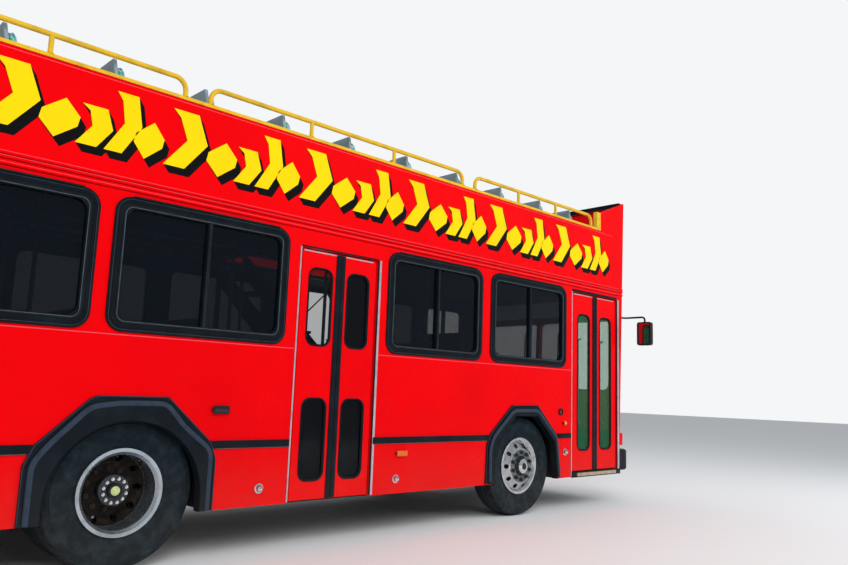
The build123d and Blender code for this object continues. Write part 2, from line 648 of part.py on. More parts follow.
# Bumpers: deep hollow beams that wrap the corners
BUMPER_FOOT_Z = 395
BUMPER_HEAD_Z = FRONT_WALL_FOOT_Z
BUMPER_WALL = 60
FRONT_BUMPER_REAR_X = along(6270)
FRONT_BUMPER_CORNER = 170
REAR_BUMPER_FOOT_Z = 420
REAR_BUMPER_HEAD_Z = 640
REAR_BUMPER_CORNER = 60
with BuildPart() as front_bumper:
    with BuildSketch(Plane.XY.offset(BUMPER_FOOT_Z)):
        bumper_depth = FRONT_TIP_X - FRONT_BUMPER_REAR_X
        with Locations((FRONT_BUMPER_REAR_X + bumper_depth / 2, 0)):
            Rectangle(bumper_depth, WIDTH)
    extrude(amount=BUMPER_HEAD_Z - BUMPER_FOOT_Z)
    outer_corners = front_bumper.edges().filter_by(Axis.Z).group_by(Axis.X)[-1]
    fillet(outer_corners, radius=FRONT_BUMPER_CORNER)
    outer_rims = front_bumper.faces().filter_by(Axis.Z).edges().filter_by_position(
        Axis.X, FRONT_BUMPER_REAR_X + 1, FRONT_TIP_X
    )
    chamfer(outer_rims, length=18)
    with BuildSketch(Plane.XY.offset(BUMPER_FOOT_Z)):
        hollow_depth = bumper_depth - BUMPER_WALL
        with Locations((FRONT_BUMPER_REAR_X + hollow_depth / 2, 0)):
            Rectangle(hollow_depth, WIDTH - 4 * BUMPER_WALL)
    extrude(amount=BUMPER_HEAD_Z - BUMPER_FOOT_Z - BUMPER_WALL, mode=Mode.SUBTRACT)
save(front_bumper.part, "front_bumper")

with BuildPart() as rear_bumper:
    with BuildSketch(Plane.XY.offset(REAR_BUMPER_FOOT_Z)):
        with Locations((REAR_TIP_X + REAR_BUMPER_DEPTH / 2, 0)):
            Rectangle(REAR_BUMPER_DEPTH, WIDTH)
    extrude(amount=REAR_BUMPER_HEAD_Z - REAR_BUMPER_FOOT_Z)
    fillet(rear_bumper.edges().filter_by(Axis.Z).group_by(Axis.X)[0], radius=REAR_BUMPER_CORNER)
save(rear_bumper.part, "rear_bumper")


# Chassis: two channel rails with cross members, spring hangers and bumper horns
CHANNEL_WEB = 14
CHANNEL_FLANGE = 12
CROSS_MEMBERS = (-1000, 1000, 2100, 3200, 5300)
CROSS_HEIGHT = 120
RAIL_REAR_X = REAR_FACE_X + END_WALL + 40
RAIL_NOSE_X = front_x(FRONT_WALL_FOOT_Z) - END_WALL
RAIL_FRONT_X = FRONT_BUMPER_REAR_X + bumper_depth - BUMPER_WALL
HORN_HEIGHT = 90
SPRING_HALF = 640
SPRING_SAG = 45
SPRING_LEAF = 14
SPRING_LEAVES = 3
REAR_AXLE_TUBE = 75
BEAM_DROP_Z = 400
BEAM_HEIGHT = 90
SPRING_PAD = 15
FRONT_SPRING_Z = BEAM_DROP_Z + BEAM_HEIGHT + SPRING_PAD + (SPRING_LEAVES - 1) * SPRING_LEAF
REAR_SPRING_Z = WHEEL_Z - REAR_AXLE_TUBE - SPRING_LEAF
AXLE_SPRINGS = ((REAR_AXLE_X, REAR_SPRING_Z), (FRONT_AXLE_X, FRONT_SPRING_Z))
HANGER = 60
with BuildPart() as chassis_frame:
    for side_name, side in SIDES:
        web_y = side * (RAIL_Y + RAIL_WIDTH / 2 - CHANNEL_WEB / 2)
        with BuildSketch(Plane.YZ.offset(RAIL_REAR_X)):
            with Locations((web_y, RAIL_FOOT_Z + RAIL_HEIGHT / 2)):
                Rectangle(CHANNEL_WEB, RAIL_HEIGHT)
            with Locations(
                (side * RAIL_Y, RAIL_FOOT_Z + CHANNEL_FLANGE / 2),
                (side * RAIL_Y, RAIL_TOP_Z - CHANNEL_FLANGE / 2),
            ):
                Rectangle(RAIL_WIDTH, CHANNEL_FLANGE)
        extrude(amount=RAIL_NOSE_X - RAIL_REAR_X)
        with BuildSketch(Plane.YZ.offset(RAIL_NOSE_X)):
            with Locations((side * RAIL_Y, BUMPER_HEAD_Z - BUMPER_WALL - HORN_HEIGHT / 2)):
                Rectangle(RAIL_WIDTH, HORN_HEIGHT)
        extrude(amount=RAIL_FRONT_X - RAIL_NOSE_X)
        with BuildSketch(Plane.XZ.offset(-side * RAIL_Y - RAIL_WIDTH / 2)):
            with BuildLine():
                Polyline(
                    (RAIL_NOSE_X - 250, RAIL_FOOT_Z),
                    (RAIL_NOSE_X, RAIL_FOOT_Z),
                    (RAIL_NOSE_X, BUMPER_HEAD_Z - BUMPER_WALL - HORN_HEIGHT),
                    (RAIL_NOSE_X - 100, BUMPER_HEAD_Z - BUMPER_WALL - HORN_HEIGHT),
                    close=True,
                )
            make_face()
        extrude(amount=RAIL_WIDTH)
        for axle_x, spring_z in AXLE_SPRINGS:
            for end in (-1, 1):
                with BuildSketch(Plane.XY.offset(spring_z + SPRING_SAG - 15)):
                    with Locations((axle_x + end * (SPRING_HALF + HANGER / 2), side * RAIL_Y)):
                        Rectangle(HANGER, RAIL_WIDTH)
                extrude(amount=RAIL_FOOT_Z - spring_z - SPRING_SAG + 15)
    for member_x in CROSS_MEMBERS:
        with BuildSketch(Plane.XZ.offset(-RAIL_Y - RAIL_WIDTH / 2 + CHANNEL_WEB)):
            with Locations((along(member_x), RAIL_FOOT_Z + RAIL_HEIGHT / 2)):
                Rectangle(70, CROSS_HEIGHT)
        extrude(amount=2 * RAIL_Y + RAIL_WIDTH - 2 * CHANNEL_WEB)
save(chassis_frame.part, "chassis_frame")

# Leaf springs: arched packs between their hangers, clamped on the axle beams
SPRING_WIDTH = 75
SHORTER_BY = 150
with BuildPart() as leaf_springs:
    for axle_x, spring_z in AXLE_SPRINGS:
        for side_name, side in SIDES:
            with BuildSketch(Plane.XZ.offset(-side * RAIL_Y - SPRING_WIDTH / 2)):
                for leaf in range(SPRING_LEAVES):
                    half = SPRING_HALF - leaf * SHORTER_BY
                    sag = SPRING_SAG * (half / SPRING_HALF) ** 2
                    foot_z = spring_z - leaf * SPRING_LEAF
                    with BuildLine():
                        top = ThreePointArc(
                            (axle_x - half, foot_z + SPRING_LEAF + sag),
                            (axle_x, foot_z + SPRING_LEAF),
                            (axle_x + half, foot_z + SPRING_LEAF + sag),
                        )
                        foot = ThreePointArc(
                            (axle_x + half, foot_z + sag),
                            (axle_x, foot_z),
                            (axle_x - half, foot_z + sag),
                        )
                        Line(top @ 1, foot @ 0)
                        Line(foot @ 1, top @ 0)
                    make_face()
            extrude(amount=SPRING_WIDTH)
save(leaf_springs.part, "leaf_springs")

# Front axle: dropped beam with kingpin eyes
BEAM_HALF_DEPTH = 45
EYE_RADIUS = 48
EYE_HALF_HEIGHT = 55
KINGPIN_RADIUS = 25
with BuildPart() as front_axle:
    with BuildSketch(Plane.YZ.offset(FRONT_AXLE_X - BEAM_HALF_DEPTH)):
        with BuildLine():
            Polyline(
                (-KINGPIN_Y, WHEEL_Z + EYE_HALF_HEIGHT),
                (-KINGPIN_Y + 60, WHEEL_Z + EYE_HALF_HEIGHT),
                (-RAIL_Y - 90, BEAM_DROP_Z + BEAM_HEIGHT),
                (RAIL_Y + 90, BEAM_DROP_Z + BEAM_HEIGHT),
                (KINGPIN_Y - 60, WHEEL_Z + EYE_HALF_HEIGHT),
                (KINGPIN_Y, WHEEL_Z + EYE_HALF_HEIGHT),
                (KINGPIN_Y, WHEEL_Z - EYE_HALF_HEIGHT),
                (KINGPIN_Y - 90, WHEEL_Z - EYE_HALF_HEIGHT),
                (RAIL_Y + 60, BEAM_DROP_Z),
                (-RAIL_Y - 60, BEAM_DROP_Z),
                (-KINGPIN_Y + 90, WHEEL_Z - EYE_HALF_HEIGHT),
                (-KINGPIN_Y, WHEEL_Z - EYE_HALF_HEIGHT),
                close=True,
            )
        make_face()
    extrude(amount=2 * BEAM_HALF_DEPTH)
    for side_name, side in SIDES:
        with BuildSketch(Plane.XY.offset(WHEEL_Z - EYE_HALF_HEIGHT)):
            with Locations((FRONT_AXLE_X, side * KINGPIN_Y)):
                Circle(EYE_RADIUS)
        extrude(amount=2 * EYE_HALF_HEIGHT)
        with BuildSketch(Plane.XY.offset(BEAM_DROP_Z + BEAM_HEIGHT)):
            with Locations((FRONT_AXLE_X, side * RAIL_Y)):
                Rectangle(150, SPRING_WIDTH)
        extrude(amount=SPRING_PAD)
        with BuildSketch(Plane.XY.offset(WHEEL_Z - EYE_HALF_HEIGHT)):
            with Locations((FRONT_AXLE_X, side * KINGPIN_Y)):
                Circle(KINGPIN_RADIUS)
        extrude(amount=2 * EYE_HALF_HEIGHT, mode=Mode.SUBTRACT)
save(front_axle.part, "front_axle")

# Rear axle: banjo housing with tubes that end in spindles for the twin wheels
BANJO_RADIUS = 210
BANJO_HALF_DEPTH = 130
REAR_SPINDLE_END_Y = TYRE_OUTER_Y - REAR_BORE_END - SPINDLE_END_GAP
REAR_TUBE_END_Y = TYRE_MID_Y - DUAL_SPACING - TYRE_WIDTH / 2 - 25
with BuildPart() as rear_axle:
    with BuildSketch(Plane.XZ.offset(-REAR_TUBE_END_Y)):
        with Locations((REAR_AXLE_X, WHEEL_Z)):
            Circle(REAR_AXLE_TUBE)
    extrude(amount=2 * REAR_TUBE_END_Y)
    with BuildSketch(Plane.XZ.offset(-REAR_SPINDLE_END_Y)):
        with Locations((REAR_AXLE_X, WHEEL_Z)):
            Circle(SPINDLE_RADIUS)
    extrude(amount=2 * REAR_SPINDLE_END_Y)
    with BuildSketch(Plane.YZ.offset(REAR_AXLE_X - BANJO_HALF_DEPTH)):
        with Locations((0, WHEEL_Z)):
            Circle(BANJO_RADIUS - 60)
    extrude(amount=2 * BANJO_HALF_DEPTH)
    with BuildSketch(Plane.XY.offset(REAR_SPRING_Z + SPRING_LEAF + SEAT_GAP)):
        with Locations(*[(REAR_AXLE_X, side * RAIL_Y) for side_name, side in SIDES]):
            Rectangle(100, SPRING_WIDTH)
    extrude(amount=REAR_AXLE_TUBE)
save(rear_axle.part, "rear_axle")


# Engine: the heavy block over the rear of the frame, carried by feet on the rails
ENGINE_FOOT_Z = 560
ENGINE_HEAD_Z = 1200
ENGINE_REAR_X = along(-2560)
ENGINE_LENGTH = 1050
ENGINE_HALF = RAIL_Y - RAIL_WIDTH / 2 - 10
with BuildPart() as engine:
    with BuildSketch(Plane.YZ.offset(ENGINE_REAR_X)):
        with BuildLine():
            Polyline(
                (-ENGINE_HALF, ENGINE_FOOT_Z + 120),
                (-ENGINE_HALF + 120, ENGINE_FOOT_Z),
                (ENGINE_HALF - 120, ENGINE_FOOT_Z),
                (ENGINE_HALF, ENGINE_FOOT_Z + 120),
                (ENGINE_HALF, ENGINE_HEAD_Z - 60),
                (ENGINE_HALF - 60, ENGINE_HEAD_Z),
                (-ENGINE_HALF + 60, ENGINE_HEAD_Z),
                (-ENGINE_HALF, ENGINE_HEAD_Z - 60),
                close=True,
            )
        make_face()
    extrude(amount=ENGINE_LENGTH)
    with BuildSketch(Plane.XY.offset(RAIL_TOP_Z)):
        with Locations((ENGINE_REAR_X + 200, 0), (ENGINE_REAR_X + ENGINE_LENGTH - 200, 0)):
            Rectangle(120, 2 * RAIL_Y + RAIL_WIDTH)
    extrude(amount=30)
save(engine.part, "engine")

# Seats: rows at a pitch, each a pair of places with legs, cushion and back
SEAT_HEIGHT = 430
CUSHION_THICK = 80
CUSHION_DEPTH = 430
BACK_THICK = 60
SEAT_WIDTH = 840
SEAT_WALL_GAP = 25
SEAT_MID_Y = INNER_HALF - SEAT_WALL_GAP - SEAT_WIDTH / 2
PAN_THICK = 25
LEG_THICK = 40
LEG_INSET = 120
LEG_DEPTH = 270
BACK_RAKE = 12
PAD_CLEARANCE = 6
# Rows: deck, side, x of the seat's hinge line ahead of the rear axle
LOWER_ROWS = {
    "right": (-1020, -230, 590, 2420, 3120),
    "left": (-1020, -230, 590, 1270),
}
UPPER_ROWS = {
    "right": (-2350, -1640, -930, -220, 490, 1200, 1910, 2620, 3330, 4040, 4750, 5350),
    "left": (-2350, -1640, -930, -220, 490, 1200, 4040, 4750, 5350),
}
BACK_HEIGHT = {"lower": 560, "upper": 470}
DECK_Z = {"lower": FLOOR_Z, "upper": UPPER_FLOOR_Z}
DECK_ROWS = {"lower": LOWER_ROWS, "upper": UPPER_ROWS}


def back_x(height):
    """How far a raked seat back leans rearward at a height over its hinge line."""
    return -height * tan(radians(BACK_RAKE))


def seat_profile(seat_x, foot_z, height, thick, rake_from):
    """Side profile of one seat part: a flat lower member and a raked upright one."""
    Polyline(
        (seat_x + CUSHION_DEPTH, foot_z),
        (seat_x + CUSHION_DEPTH, foot_z + thick),
        (seat_x + rake_from + back_x(thick), foot_z + thick),
        (seat_x + rake_from + back_x(height), foot_z + height),
        (seat_x + back_x(height), foot_z + height),
        (seat_x, foot_z),
        close=True,
    )


for deck, rows in DECK_ROWS.items():
    pan_z = DECK_Z[deck] + SEAT_HEIGHT - CUSHION_THICK - PAN_THICK
    with BuildPart() as seat_frames:
        for side_name, side in SIDES:
            with BuildSketch(Plane.XZ.offset(-side * SEAT_MID_Y - SEAT_WIDTH / 2)):
                for row_x in rows[side_name]:
                    with BuildLine():
                        seat_profile(
                            along(row_x) - PAN_THICK, pan_z, BACK_HEIGHT[deck], PAN_THICK, PAN_THICK
                        )
                    make_face()
            extrude(amount=SEAT_WIDTH)
        for foot_z in (DECK_Z[deck], WHEEL_BOX_TOP_Z):
            leg_places = [
                (along(row_x) + CUSHION_DEPTH / 2 - PAN_THICK, side * SEAT_MID_Y + leg_y)
                for side_name, side in SIDES
                for row_x in rows[side_name]
                for leg_y in (-SEAT_WIDTH / 2 + LEG_INSET, SEAT_WIDTH / 2 - LEG_INSET)
                if (deck == "lower" and abs(row_x) < REAR_BOX_HALF / 2) == (foot_z == WHEEL_BOX_TOP_Z)
            ]
            if leg_places:
                with BuildSketch(Plane.XY.offset(foot_z)):
                    with Locations(*leg_places):
                        Rectangle(LEG_DEPTH, LEG_THICK)
                extrude(amount=pan_z - foot_z)
    save(seat_frames.part, f"{deck}_seat_frames")

    with BuildPart() as seat_pads:
        pad_z = pan_z + PAN_THICK + SEAT_GAP
        back_foot = CUSHION_THICK + 10
        back_head = BACK_HEIGHT[deck] - 40
        for side_name, side in SIDES:
            with BuildSketch(Plane.XZ.offset(-side * SEAT_MID_Y - SEAT_WIDTH / 2)):
                for row_x in rows[side_name]:
                    pad_x = along(row_x) + PAD_CLEARANCE
                    with BuildLine():
                        Polyline(
                            (pad_x + CUSHION_DEPTH, pad_z),
                            (pad_x + CUSHION_DEPTH, pad_z + CUSHION_THICK),
                            (pad_x + back_x(CUSHION_THICK), pad_z + CUSHION_THICK),
                            (pad_x, pad_z),
                            close=True,
                        )
                    make_face()
                    with BuildLine():
                        Polyline(
                            (pad_x + back_x(back_foot), pad_z + back_foot),
                            (pad_x + BACK_THICK + back_x(back_foot), pad_z + back_foot),
                            (pad_x + BACK_THICK + back_x(back_head), pad_z + back_head),
                            (pad_x + back_x(back_head), pad_z + back_head),
                            close=True,
                        )
                    make_face()
            extrude(amount=SEAT_WIDTH)
    save(seat_pads.part, f"{deck}_seat_pads")

# Driver's seat, dashboard, column and steering wheel at the left front
DRIVER_X = along(5180)
DRIVER_Y = 760
DRIVER_WIDTH = 480
DRIVER_BACK = 640
with BuildPart() as driver_seat:
    driver_pan_z = FLOOR_Z + SEAT_HEIGHT - CUSHION_THICK
    with BuildSketch(Plane.XZ.offset(-DRIVER_Y - DRIVER_WIDTH / 2)):
        with BuildLine():
            seat_profile(DRIVER_X, driver_pan_z, DRIVER_BACK, CUSHION_THICK, BACK_THICK + 30)
        make_face()
    extrude(amount=DRIVER_WIDTH)
    with BuildSketch(Plane.XY.offset(FLOOR_Z)):
        with Locations((DRIVER_X + CUSHION_DEPTH / 2, DRIVER_Y)):
            Rectangle(260, 260)
    extrude(amount=driver_pan_z - FLOOR_Z)
save(driver_seat.part, "driver_seat")

DASH_TOP_Z = 1385
DASH_DEPTH = 330
with BuildPart() as dashboard:
    with BuildSketch(Plane.XZ.offset(-INNER_HALF)):
        with BuildLine():
            Polyline(
                (front_x(FLOOR_Z) - END_WALL, FLOOR_Z),
                (front_x(DASH_TOP_Z) - END_WALL, DASH_TOP_Z),
                (front_x(DASH_TOP_Z) - END_WALL - DASH_DEPTH, DASH_TOP_Z - 40),
                (front_x(DASH_TOP_Z) - END_WALL - DASH_DEPTH, DASH_TOP_Z - 160),
                (front_x(FLOOR_Z) - END_WALL - 120, FLOOR_Z + 120),
                (front_x(FLOOR_Z) - END_WALL - 120, FLOOR_Z),
                close=True,
            )
        make_face()
    extrude(amount=INNER_HALF + 480)
save(dashboard.part, "dashboard")

WHEEL_RIM_RADIUS = 230
WHEEL_RIM_TUBE = 15
COLUMN_RAKE = 28
COLUMN_TUBE = 32
WHEEL_FROM_DASH = 150
STEERING_Z = 1545
rake = radians(COLUMN_RAKE)
steer_centre = Vector(front_x(DASH_TOP_Z) - END_WALL - DASH_DEPTH - WHEEL_FROM_DASH, DRIVER_Y, STEERING_Z)
column_plane = Plane(origin=steer_centre, x_dir=(0, 1, 0), z_dir=(sin(rake), 0, -cos(rake)))
rim_plane = Plane(
    origin=steer_centre + Vector(0, WHEEL_RIM_RADIUS, 0),
    x_dir=(0, 1, 0),
    z_dir=(cos(rake), 0, sin(rake)),
)
with BuildPart() as steering_wheel:
    with BuildSketch(rim_plane):
        Circle(WHEEL_RIM_TUBE)
    revolve(axis=Axis(steer_centre, column_plane.z_dir))
    with BuildSketch(column_plane):
        Circle(60)
        with PolarLocations(0, 3, start_angle=90):
            with Locations((WHEEL_RIM_RADIUS / 2, 0)):
                Rectangle(WHEEL_RIM_RADIUS - WHEEL_RIM_TUBE / 2, 30)
    extrude(amount=WHEEL_RIM_TUBE)
    with BuildSketch(column_plane):
        Circle(COLUMN_TUBE)
    extrude(amount=(WHEEL_FROM_DASH - COLUMN_TUBE * cos(rake) - SEAT_GAP) / sin(rake))
save(steering_wheel.part, "steering_wheel")

# Mirrors: an arm from each front corner with a flat head that faces rearward
MIRROR_X = along(6500)
MIRROR_Y = HALF_WIDTH + 235
MIRROR_WIDTH = 195
MIRROR_HEIGHT = 300
MIRROR_DEPTH = 60
MIRROR_TOP_Z = 2275
ARM_ROOT_Z = 2340
ARM_TUBE = 12
with BuildPart() as mirrors:
    for side_name, side in SIDES:
        with BuildSketch(Plane.YZ.offset(MIRROR_X - MIRROR_DEPTH / 2)):
            with Locations((side * MIRROR_Y, MIRROR_TOP_Z - MIRROR_HEIGHT / 2)):
                RectangleRounded(MIRROR_WIDTH, MIRROR_HEIGHT, 30)
        extrude(amount=MIRROR_DEPTH)
        arm_root = Vector(front_x(ARM_ROOT_Z + ARM_TUBE), side * (HALF_WIDTH - 60), ARM_ROOT_Z)
        with BuildLine() as arm_path:
            FilletPolyline(
                arm_root,
                (MIRROR_X, side * (HALF_WIDTH - 60), ARM_ROOT_Z),
                (MIRROR_X, side * MIRROR_Y, ARM_ROOT_Z),
                (MIRROR_X, side * MIRROR_Y, MIRROR_TOP_Z - 20),
                radius=40,
            )
        with BuildSketch(Plane(origin=arm_root, z_dir=(1, 0, 0))):
            Circle(ARM_TUBE)
        sweep(path=arm_path.line)
save(mirrors.part, "mirrors")

# Lamps: round units on the front and rear, small markers on the sides
HEADLAMP_Z = 830
HEADLAMP_RADIUS = 80
TAIL_LAMP_RADIUS = 50
FRONT_LAMPS = ((1080, HEADLAMP_Z, HEADLAMP_RADIUS), (890, HEADLAMP_Z, HEADLAMP_RADIUS), (1150, 1010, 40))
REAR_LAMPS = ((1130, 760, 50), (1130, 900, 50), (1130, 1040, 50), (1130, 2590, 28))
SIDE_MARKERS = ((668, 1095, 137, 26), (2526, 717, 134, 22), (5071, 982, 60, 30))
LAMP_DEPTH = 18
with BuildPart() as lamps:
    for side_name, side in SIDES:
        for lamp_y, lamp_z, radius in FRONT_LAMPS:
            with BuildSketch(front_skin):
                with Locations((side * lamp_y, up_front(lamp_z))):
                    Circle(radius)
            extrude(amount=LAMP_DEPTH)
        for lamp_y, lamp_z, radius in REAR_LAMPS:
            with BuildSketch(Plane.YZ.offset(REAR_FACE_X)):
                with Locations((side * lamp_y, lamp_z)):
                    Circle(radius)
            extrude(amount=-LAMP_DEPTH)
        with BuildSketch(side_plane(side, HALF_WIDTH)):
            for marker_x, marker_z, marker_length, marker_height in SIDE_MARKERS:
                with Locations((along(marker_x), marker_z)):
                    RectangleRounded(marker_length, marker_height, marker_height / 3)
        extrude(amount=-side * LAMP_DEPTH)
save(lamps.part, "lamps")

# Door leaves, each hinged upright at its outer jamb, with their panes
for door in DOORS:
    x0 = along(door["x0"])
    x1 = along(door["x1"])
    middle = (x0 + x1) / 2
    jamb_gap = HINGE_FROM_JAMB - LEAF_PAST_HINGE
    leaf_height = door["head"] - jamb_gap - door["foot"]
    for leaf_name, leaf_rear, leaf_front, hinge_x in (
        ("rearward", x0 + jamb_gap, middle - LEAF_GAP / 2, x0 + HINGE_FROM_JAMB),
        ("forward", middle + LEAF_GAP / 2, x1 - jamb_gap, x1 - HINGE_FROM_JAMB),
    ):
        leaf_width = leaf_front - leaf_rear
        leaf_mid = (leaf_rear + leaf_front) / 2
        pane_width = leaf_width - 2 * door["pane_margin"]
        inner_face = side_plane(-1, HALF_WIDTH - DOOR_RECESS - DOOR_THICK)
        with BuildPart() as leaf:
            with BuildSketch(inner_face):
                with Locations((leaf_mid, door["foot"] + leaf_height / 2)):
                    Rectangle(leaf_width, leaf_height)
                for pane_foot, pane_head in door["panes"]:
                    with Locations((leaf_mid, (pane_foot + pane_head) / 2)):
                        RectangleRounded(
                            pane_width, pane_head - pane_foot, PANE_CORNER, mode=Mode.SUBTRACT
                        )
            extrude(amount=DOOR_THICK)
            with BuildSketch(Plane.XY.offset(door["pin_foot"])):
                with Locations((hinge_x, -HINGE_Y)):
                    Circle(HINGE_PIN)
            extrude(amount=door["head"] - SEAT_GAP - door["pin_foot"])
        save(leaf.part, f"{door['name']}_door_leaf_{leaf_name}")
        with BuildPart() as leaf_glass:
            with BuildSketch(side_plane(-1, HALF_WIDTH - DOOR_RECESS - DOOR_THICK / 2 - GLASS / 2)):
                for pane_foot, pane_head in door["panes"]:
                    with Locations((leaf_mid, (pane_foot + pane_head) / 2)):
                        RectangleRounded(pane_width, pane_head - pane_foot, PANE_CORNER)
            extrude(amount=GLASS)
        save(leaf_glass.part, f"{door['name']}_door_glass_{leaf_name}")

# Steering knuckles: kingpin, arm and the spindle that carries the front wheel
KNUCKLE_FORK = 30
KNUCKLE_ARM = 190
FRONT_SPINDLE_END_Y = TYRE_OUTER_Y - FRONT_BORE_END - SPINDLE_END_GAP
for side_name, side in SIDES:
    with BuildPart() as knuckle:
        with BuildSketch(Plane.XY.offset(WHEEL_Z - EYE_HALF_HEIGHT - SEAT_GAP - KNUCKLE_FORK)):
            with Locations((FRONT_AXLE_X, side * KINGPIN_Y)):
                Circle(EYE_RADIUS)
            with Locations((FRONT_AXLE_X, side * (KINGPIN_Y + 50))):
                Rectangle(70, 80)
        extrude(amount=KNUCKLE_FORK)
        with BuildSketch(Plane.XY.offset(WHEEL_Z + EYE_HALF_HEIGHT + SEAT_GAP)):
            with Locations((FRONT_AXLE_X, side * KINGPIN_Y)):
                Circle(EYE_RADIUS)
            with Locations((FRONT_AXLE_X, side * (KINGPIN_Y + 50))):
                Rectangle(70, 80)
        extrude(amount=KNUCKLE_FORK)
        with BuildSketch(Plane.XY.offset(WHEEL_Z - EYE_HALF_HEIGHT - SEAT_GAP - KNUCKLE_FORK)):
            with Locations((FRONT_AXLE_X, side * (KINGPIN_Y + 75))):
                Rectangle(90, 30)
        extrude(amount=2 * (EYE_HALF_HEIGHT + SEAT_GAP + KNUCKLE_FORK))
        with BuildSketch(Plane.XY.offset(WHEEL_Z - EYE_HALF_HEIGHT - SEAT_GAP - KNUCKLE_FORK)):
            with Locations((FRONT_AXLE_X, side * KINGPIN_Y)):
                Circle(KINGPIN_RADIUS - RUNNING_FIT)
        extrude(amount=2 * (EYE_HALF_HEIGHT + SEAT_GAP + KNUCKLE_FORK))
        with BuildSketch(Plane.XZ.offset(-side * (KINGPIN_Y + 75))):
            with Locations((FRONT_AXLE_X, WHEEL_Z)):
                Circle(SPINDLE_RADIUS)
        extrude(amount=-side * (FRONT_SPINDLE_END_Y - KINGPIN_Y - 75))
        with BuildSketch(Plane.XY.offset(WHEEL_Z - EYE_HALF_HEIGHT - SEAT_GAP - KNUCKLE_FORK)):
            with Locations((FRONT_AXLE_X - KNUCKLE_ARM / 2, side * (KINGPIN_Y - 10))):
                Rectangle(KNUCKLE_ARM, 36)
        extrude(amount=KNUCKLE_FORK)
    save(knuckle.part, f"knuckle_{side_name}")

# Wheels and tyres: sections as (distance inward from the tyre's outer face, radius), turned about the axle
BARREL_RADIUS = 254
BARREL_WALL = 12
SEAT_RADIUS = BEAD_RADIUS - SEAT_GAP
DRUM_RADIUS = 188
DRUM_WALL = 14
HUB_RADIUS = 90
FLANGE_OUT = 22
FLANGE_IN = 34
DUAL_MIDDLE = (TYRE_WIDTH + DUAL_SPACING) / 2
BORE_RADIUS = SPINDLE_RADIUS + RUNNING_FIT
TYRE_HALF_SECTION = (
    (FLANGE_IN, BEAD_RADIUS), (FLANGE_IN, 300), (20, 335), (4, 400), (0, 430), (8, 480), (34, 514),
    (60, 521), (TYRE_WIDTH / 2, TYRE_RADIUS),
)
RIM_TYRE_SIDE = (
    (FLANGE_OUT, 274), (FLANGE_OUT, FLANGE_RADIUS), (FLANGE_IN, FLANGE_RADIUS), (FLANGE_IN, SEAT_RADIUS),
    (62, SEAT_RADIUS), (80, BARREL_RADIUS + BARREL_WALL), (200, BARREL_RADIUS + BARREL_WALL),
    (218, SEAT_RADIUS), (246, SEAT_RADIUS), (246, FLANGE_RADIUS), (258, FLANGE_RADIUS),
)
FRONT_WHEEL_SECTION = (
    (-45, 0), (-45, 48), (-36, 60), (-5, 64), (-5, 185), (40, BARREL_RADIUS),
    *RIM_TYRE_SIDE,
    (258, 272), (205, BARREL_RADIUS), (56, BARREL_RADIUS), (12, DRUM_RADIUS), (170, DRUM_RADIUS),
    (170, DRUM_RADIUS - DRUM_WALL), (30, DRUM_RADIUS - DRUM_WALL), (30, HUB_RADIUS), (150, HUB_RADIUS),
    (150, BORE_RADIUS), (FRONT_BORE_END, BORE_RADIUS), (FRONT_BORE_END, 0),
)
REAR_OUTER_RIM = (
    (225, BARREL_RADIUS), (45, BARREL_RADIUS),
    *RIM_TYRE_SIDE,
    (258, 272), (262, 250),
)
REAR_WHEEL_SECTION = (
    (140, 0), (140, 52), (152, 66), (285, 80), (297, 110), (297, 190), (250, 240),
    *REAR_OUTER_RIM,
    (DUAL_MIDDLE, 200),
    *[(2 * DUAL_MIDDLE - inward, radius) for inward, radius in reversed(REAR_OUTER_RIM)],
    (2 * DUAL_MIDDLE - 250, 240), (2 * DUAL_MIDDLE - 297, DRUM_RADIUS), (480, DRUM_RADIUS),
    (480, DRUM_RADIUS - DRUM_WALL), (330, DRUM_RADIUS - DRUM_WALL), (330, HUB_RADIUS), (430, HUB_RADIUS),
    (430, BORE_RADIUS), (REAR_BORE_END, BORE_RADIUS), (REAR_BORE_END, 0),
)
TYRE_SECTION = (
    *TYRE_HALF_SECTION,
    *[(TYRE_WIDTH - inward, radius) for inward, radius in reversed(TYRE_HALF_SECTION[:-1])],
)
AXLE_ENDS = (
    ("front", FRONT_AXLE_X, FRONT_WHEEL_SECTION, (0,), (-10, 90)),
    ("rear", REAR_AXLE_X, REAR_WHEEL_SECTION, (0, DUAL_SPACING), (200, 420)),
)


def turned_section(side, section, inset):
    """Closed section in the upright plane of an axle, on one side of the bus."""
    Polyline(
        *[(side * (TYRE_OUTER_Y - inset - inward), WHEEL_Z + radius) for inward, radius in section],
        close=True,
    )


for end, axle_x, wheel_section, tyre_insets, hole_span in AXLE_ENDS:
    axle_line = Axis((axle_x, 0, WHEEL_Z), (0, 1, 0))
    for side_name, side in SIDES:
        with BuildPart() as wheel:
            with BuildSketch(Plane.YZ.offset(axle_x)):
                with BuildLine():
                    turned_section(side, wheel_section, 0)
                make_face()
            revolve(axis=axle_line)
            with BuildSketch(side_plane(side, TYRE_OUTER_Y - hole_span[0])):
                with Locations((axle_x, WHEEL_Z)):
                    with PolarLocations(HAND_HOLE_CIRCLE, HAND_HOLES):
                        Circle(HAND_HOLE_RADIUS)
            extrude(amount=side * (hole_span[1] - hole_span[0]), mode=Mode.SUBTRACT)
        save(wheel.part, f"wheel_{end}_{side_name}")
        with BuildPart() as tyre:
            with BuildSketch(Plane.YZ.offset(axle_x)):
                for inset in tyre_insets:
                    with BuildLine():
                        turned_section(side, TYRE_SECTION, inset)
                    make_face()
            revolve(axis=axle_line)
        save(tyre.part, f"tyre_{end}_{side_name}")
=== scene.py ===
import logging
import math
from dataclasses import dataclass, field
from enum import Enum
from typing import Iterable, Sequence

import bmesh
import bpy
from mathutils import Matrix, Vector


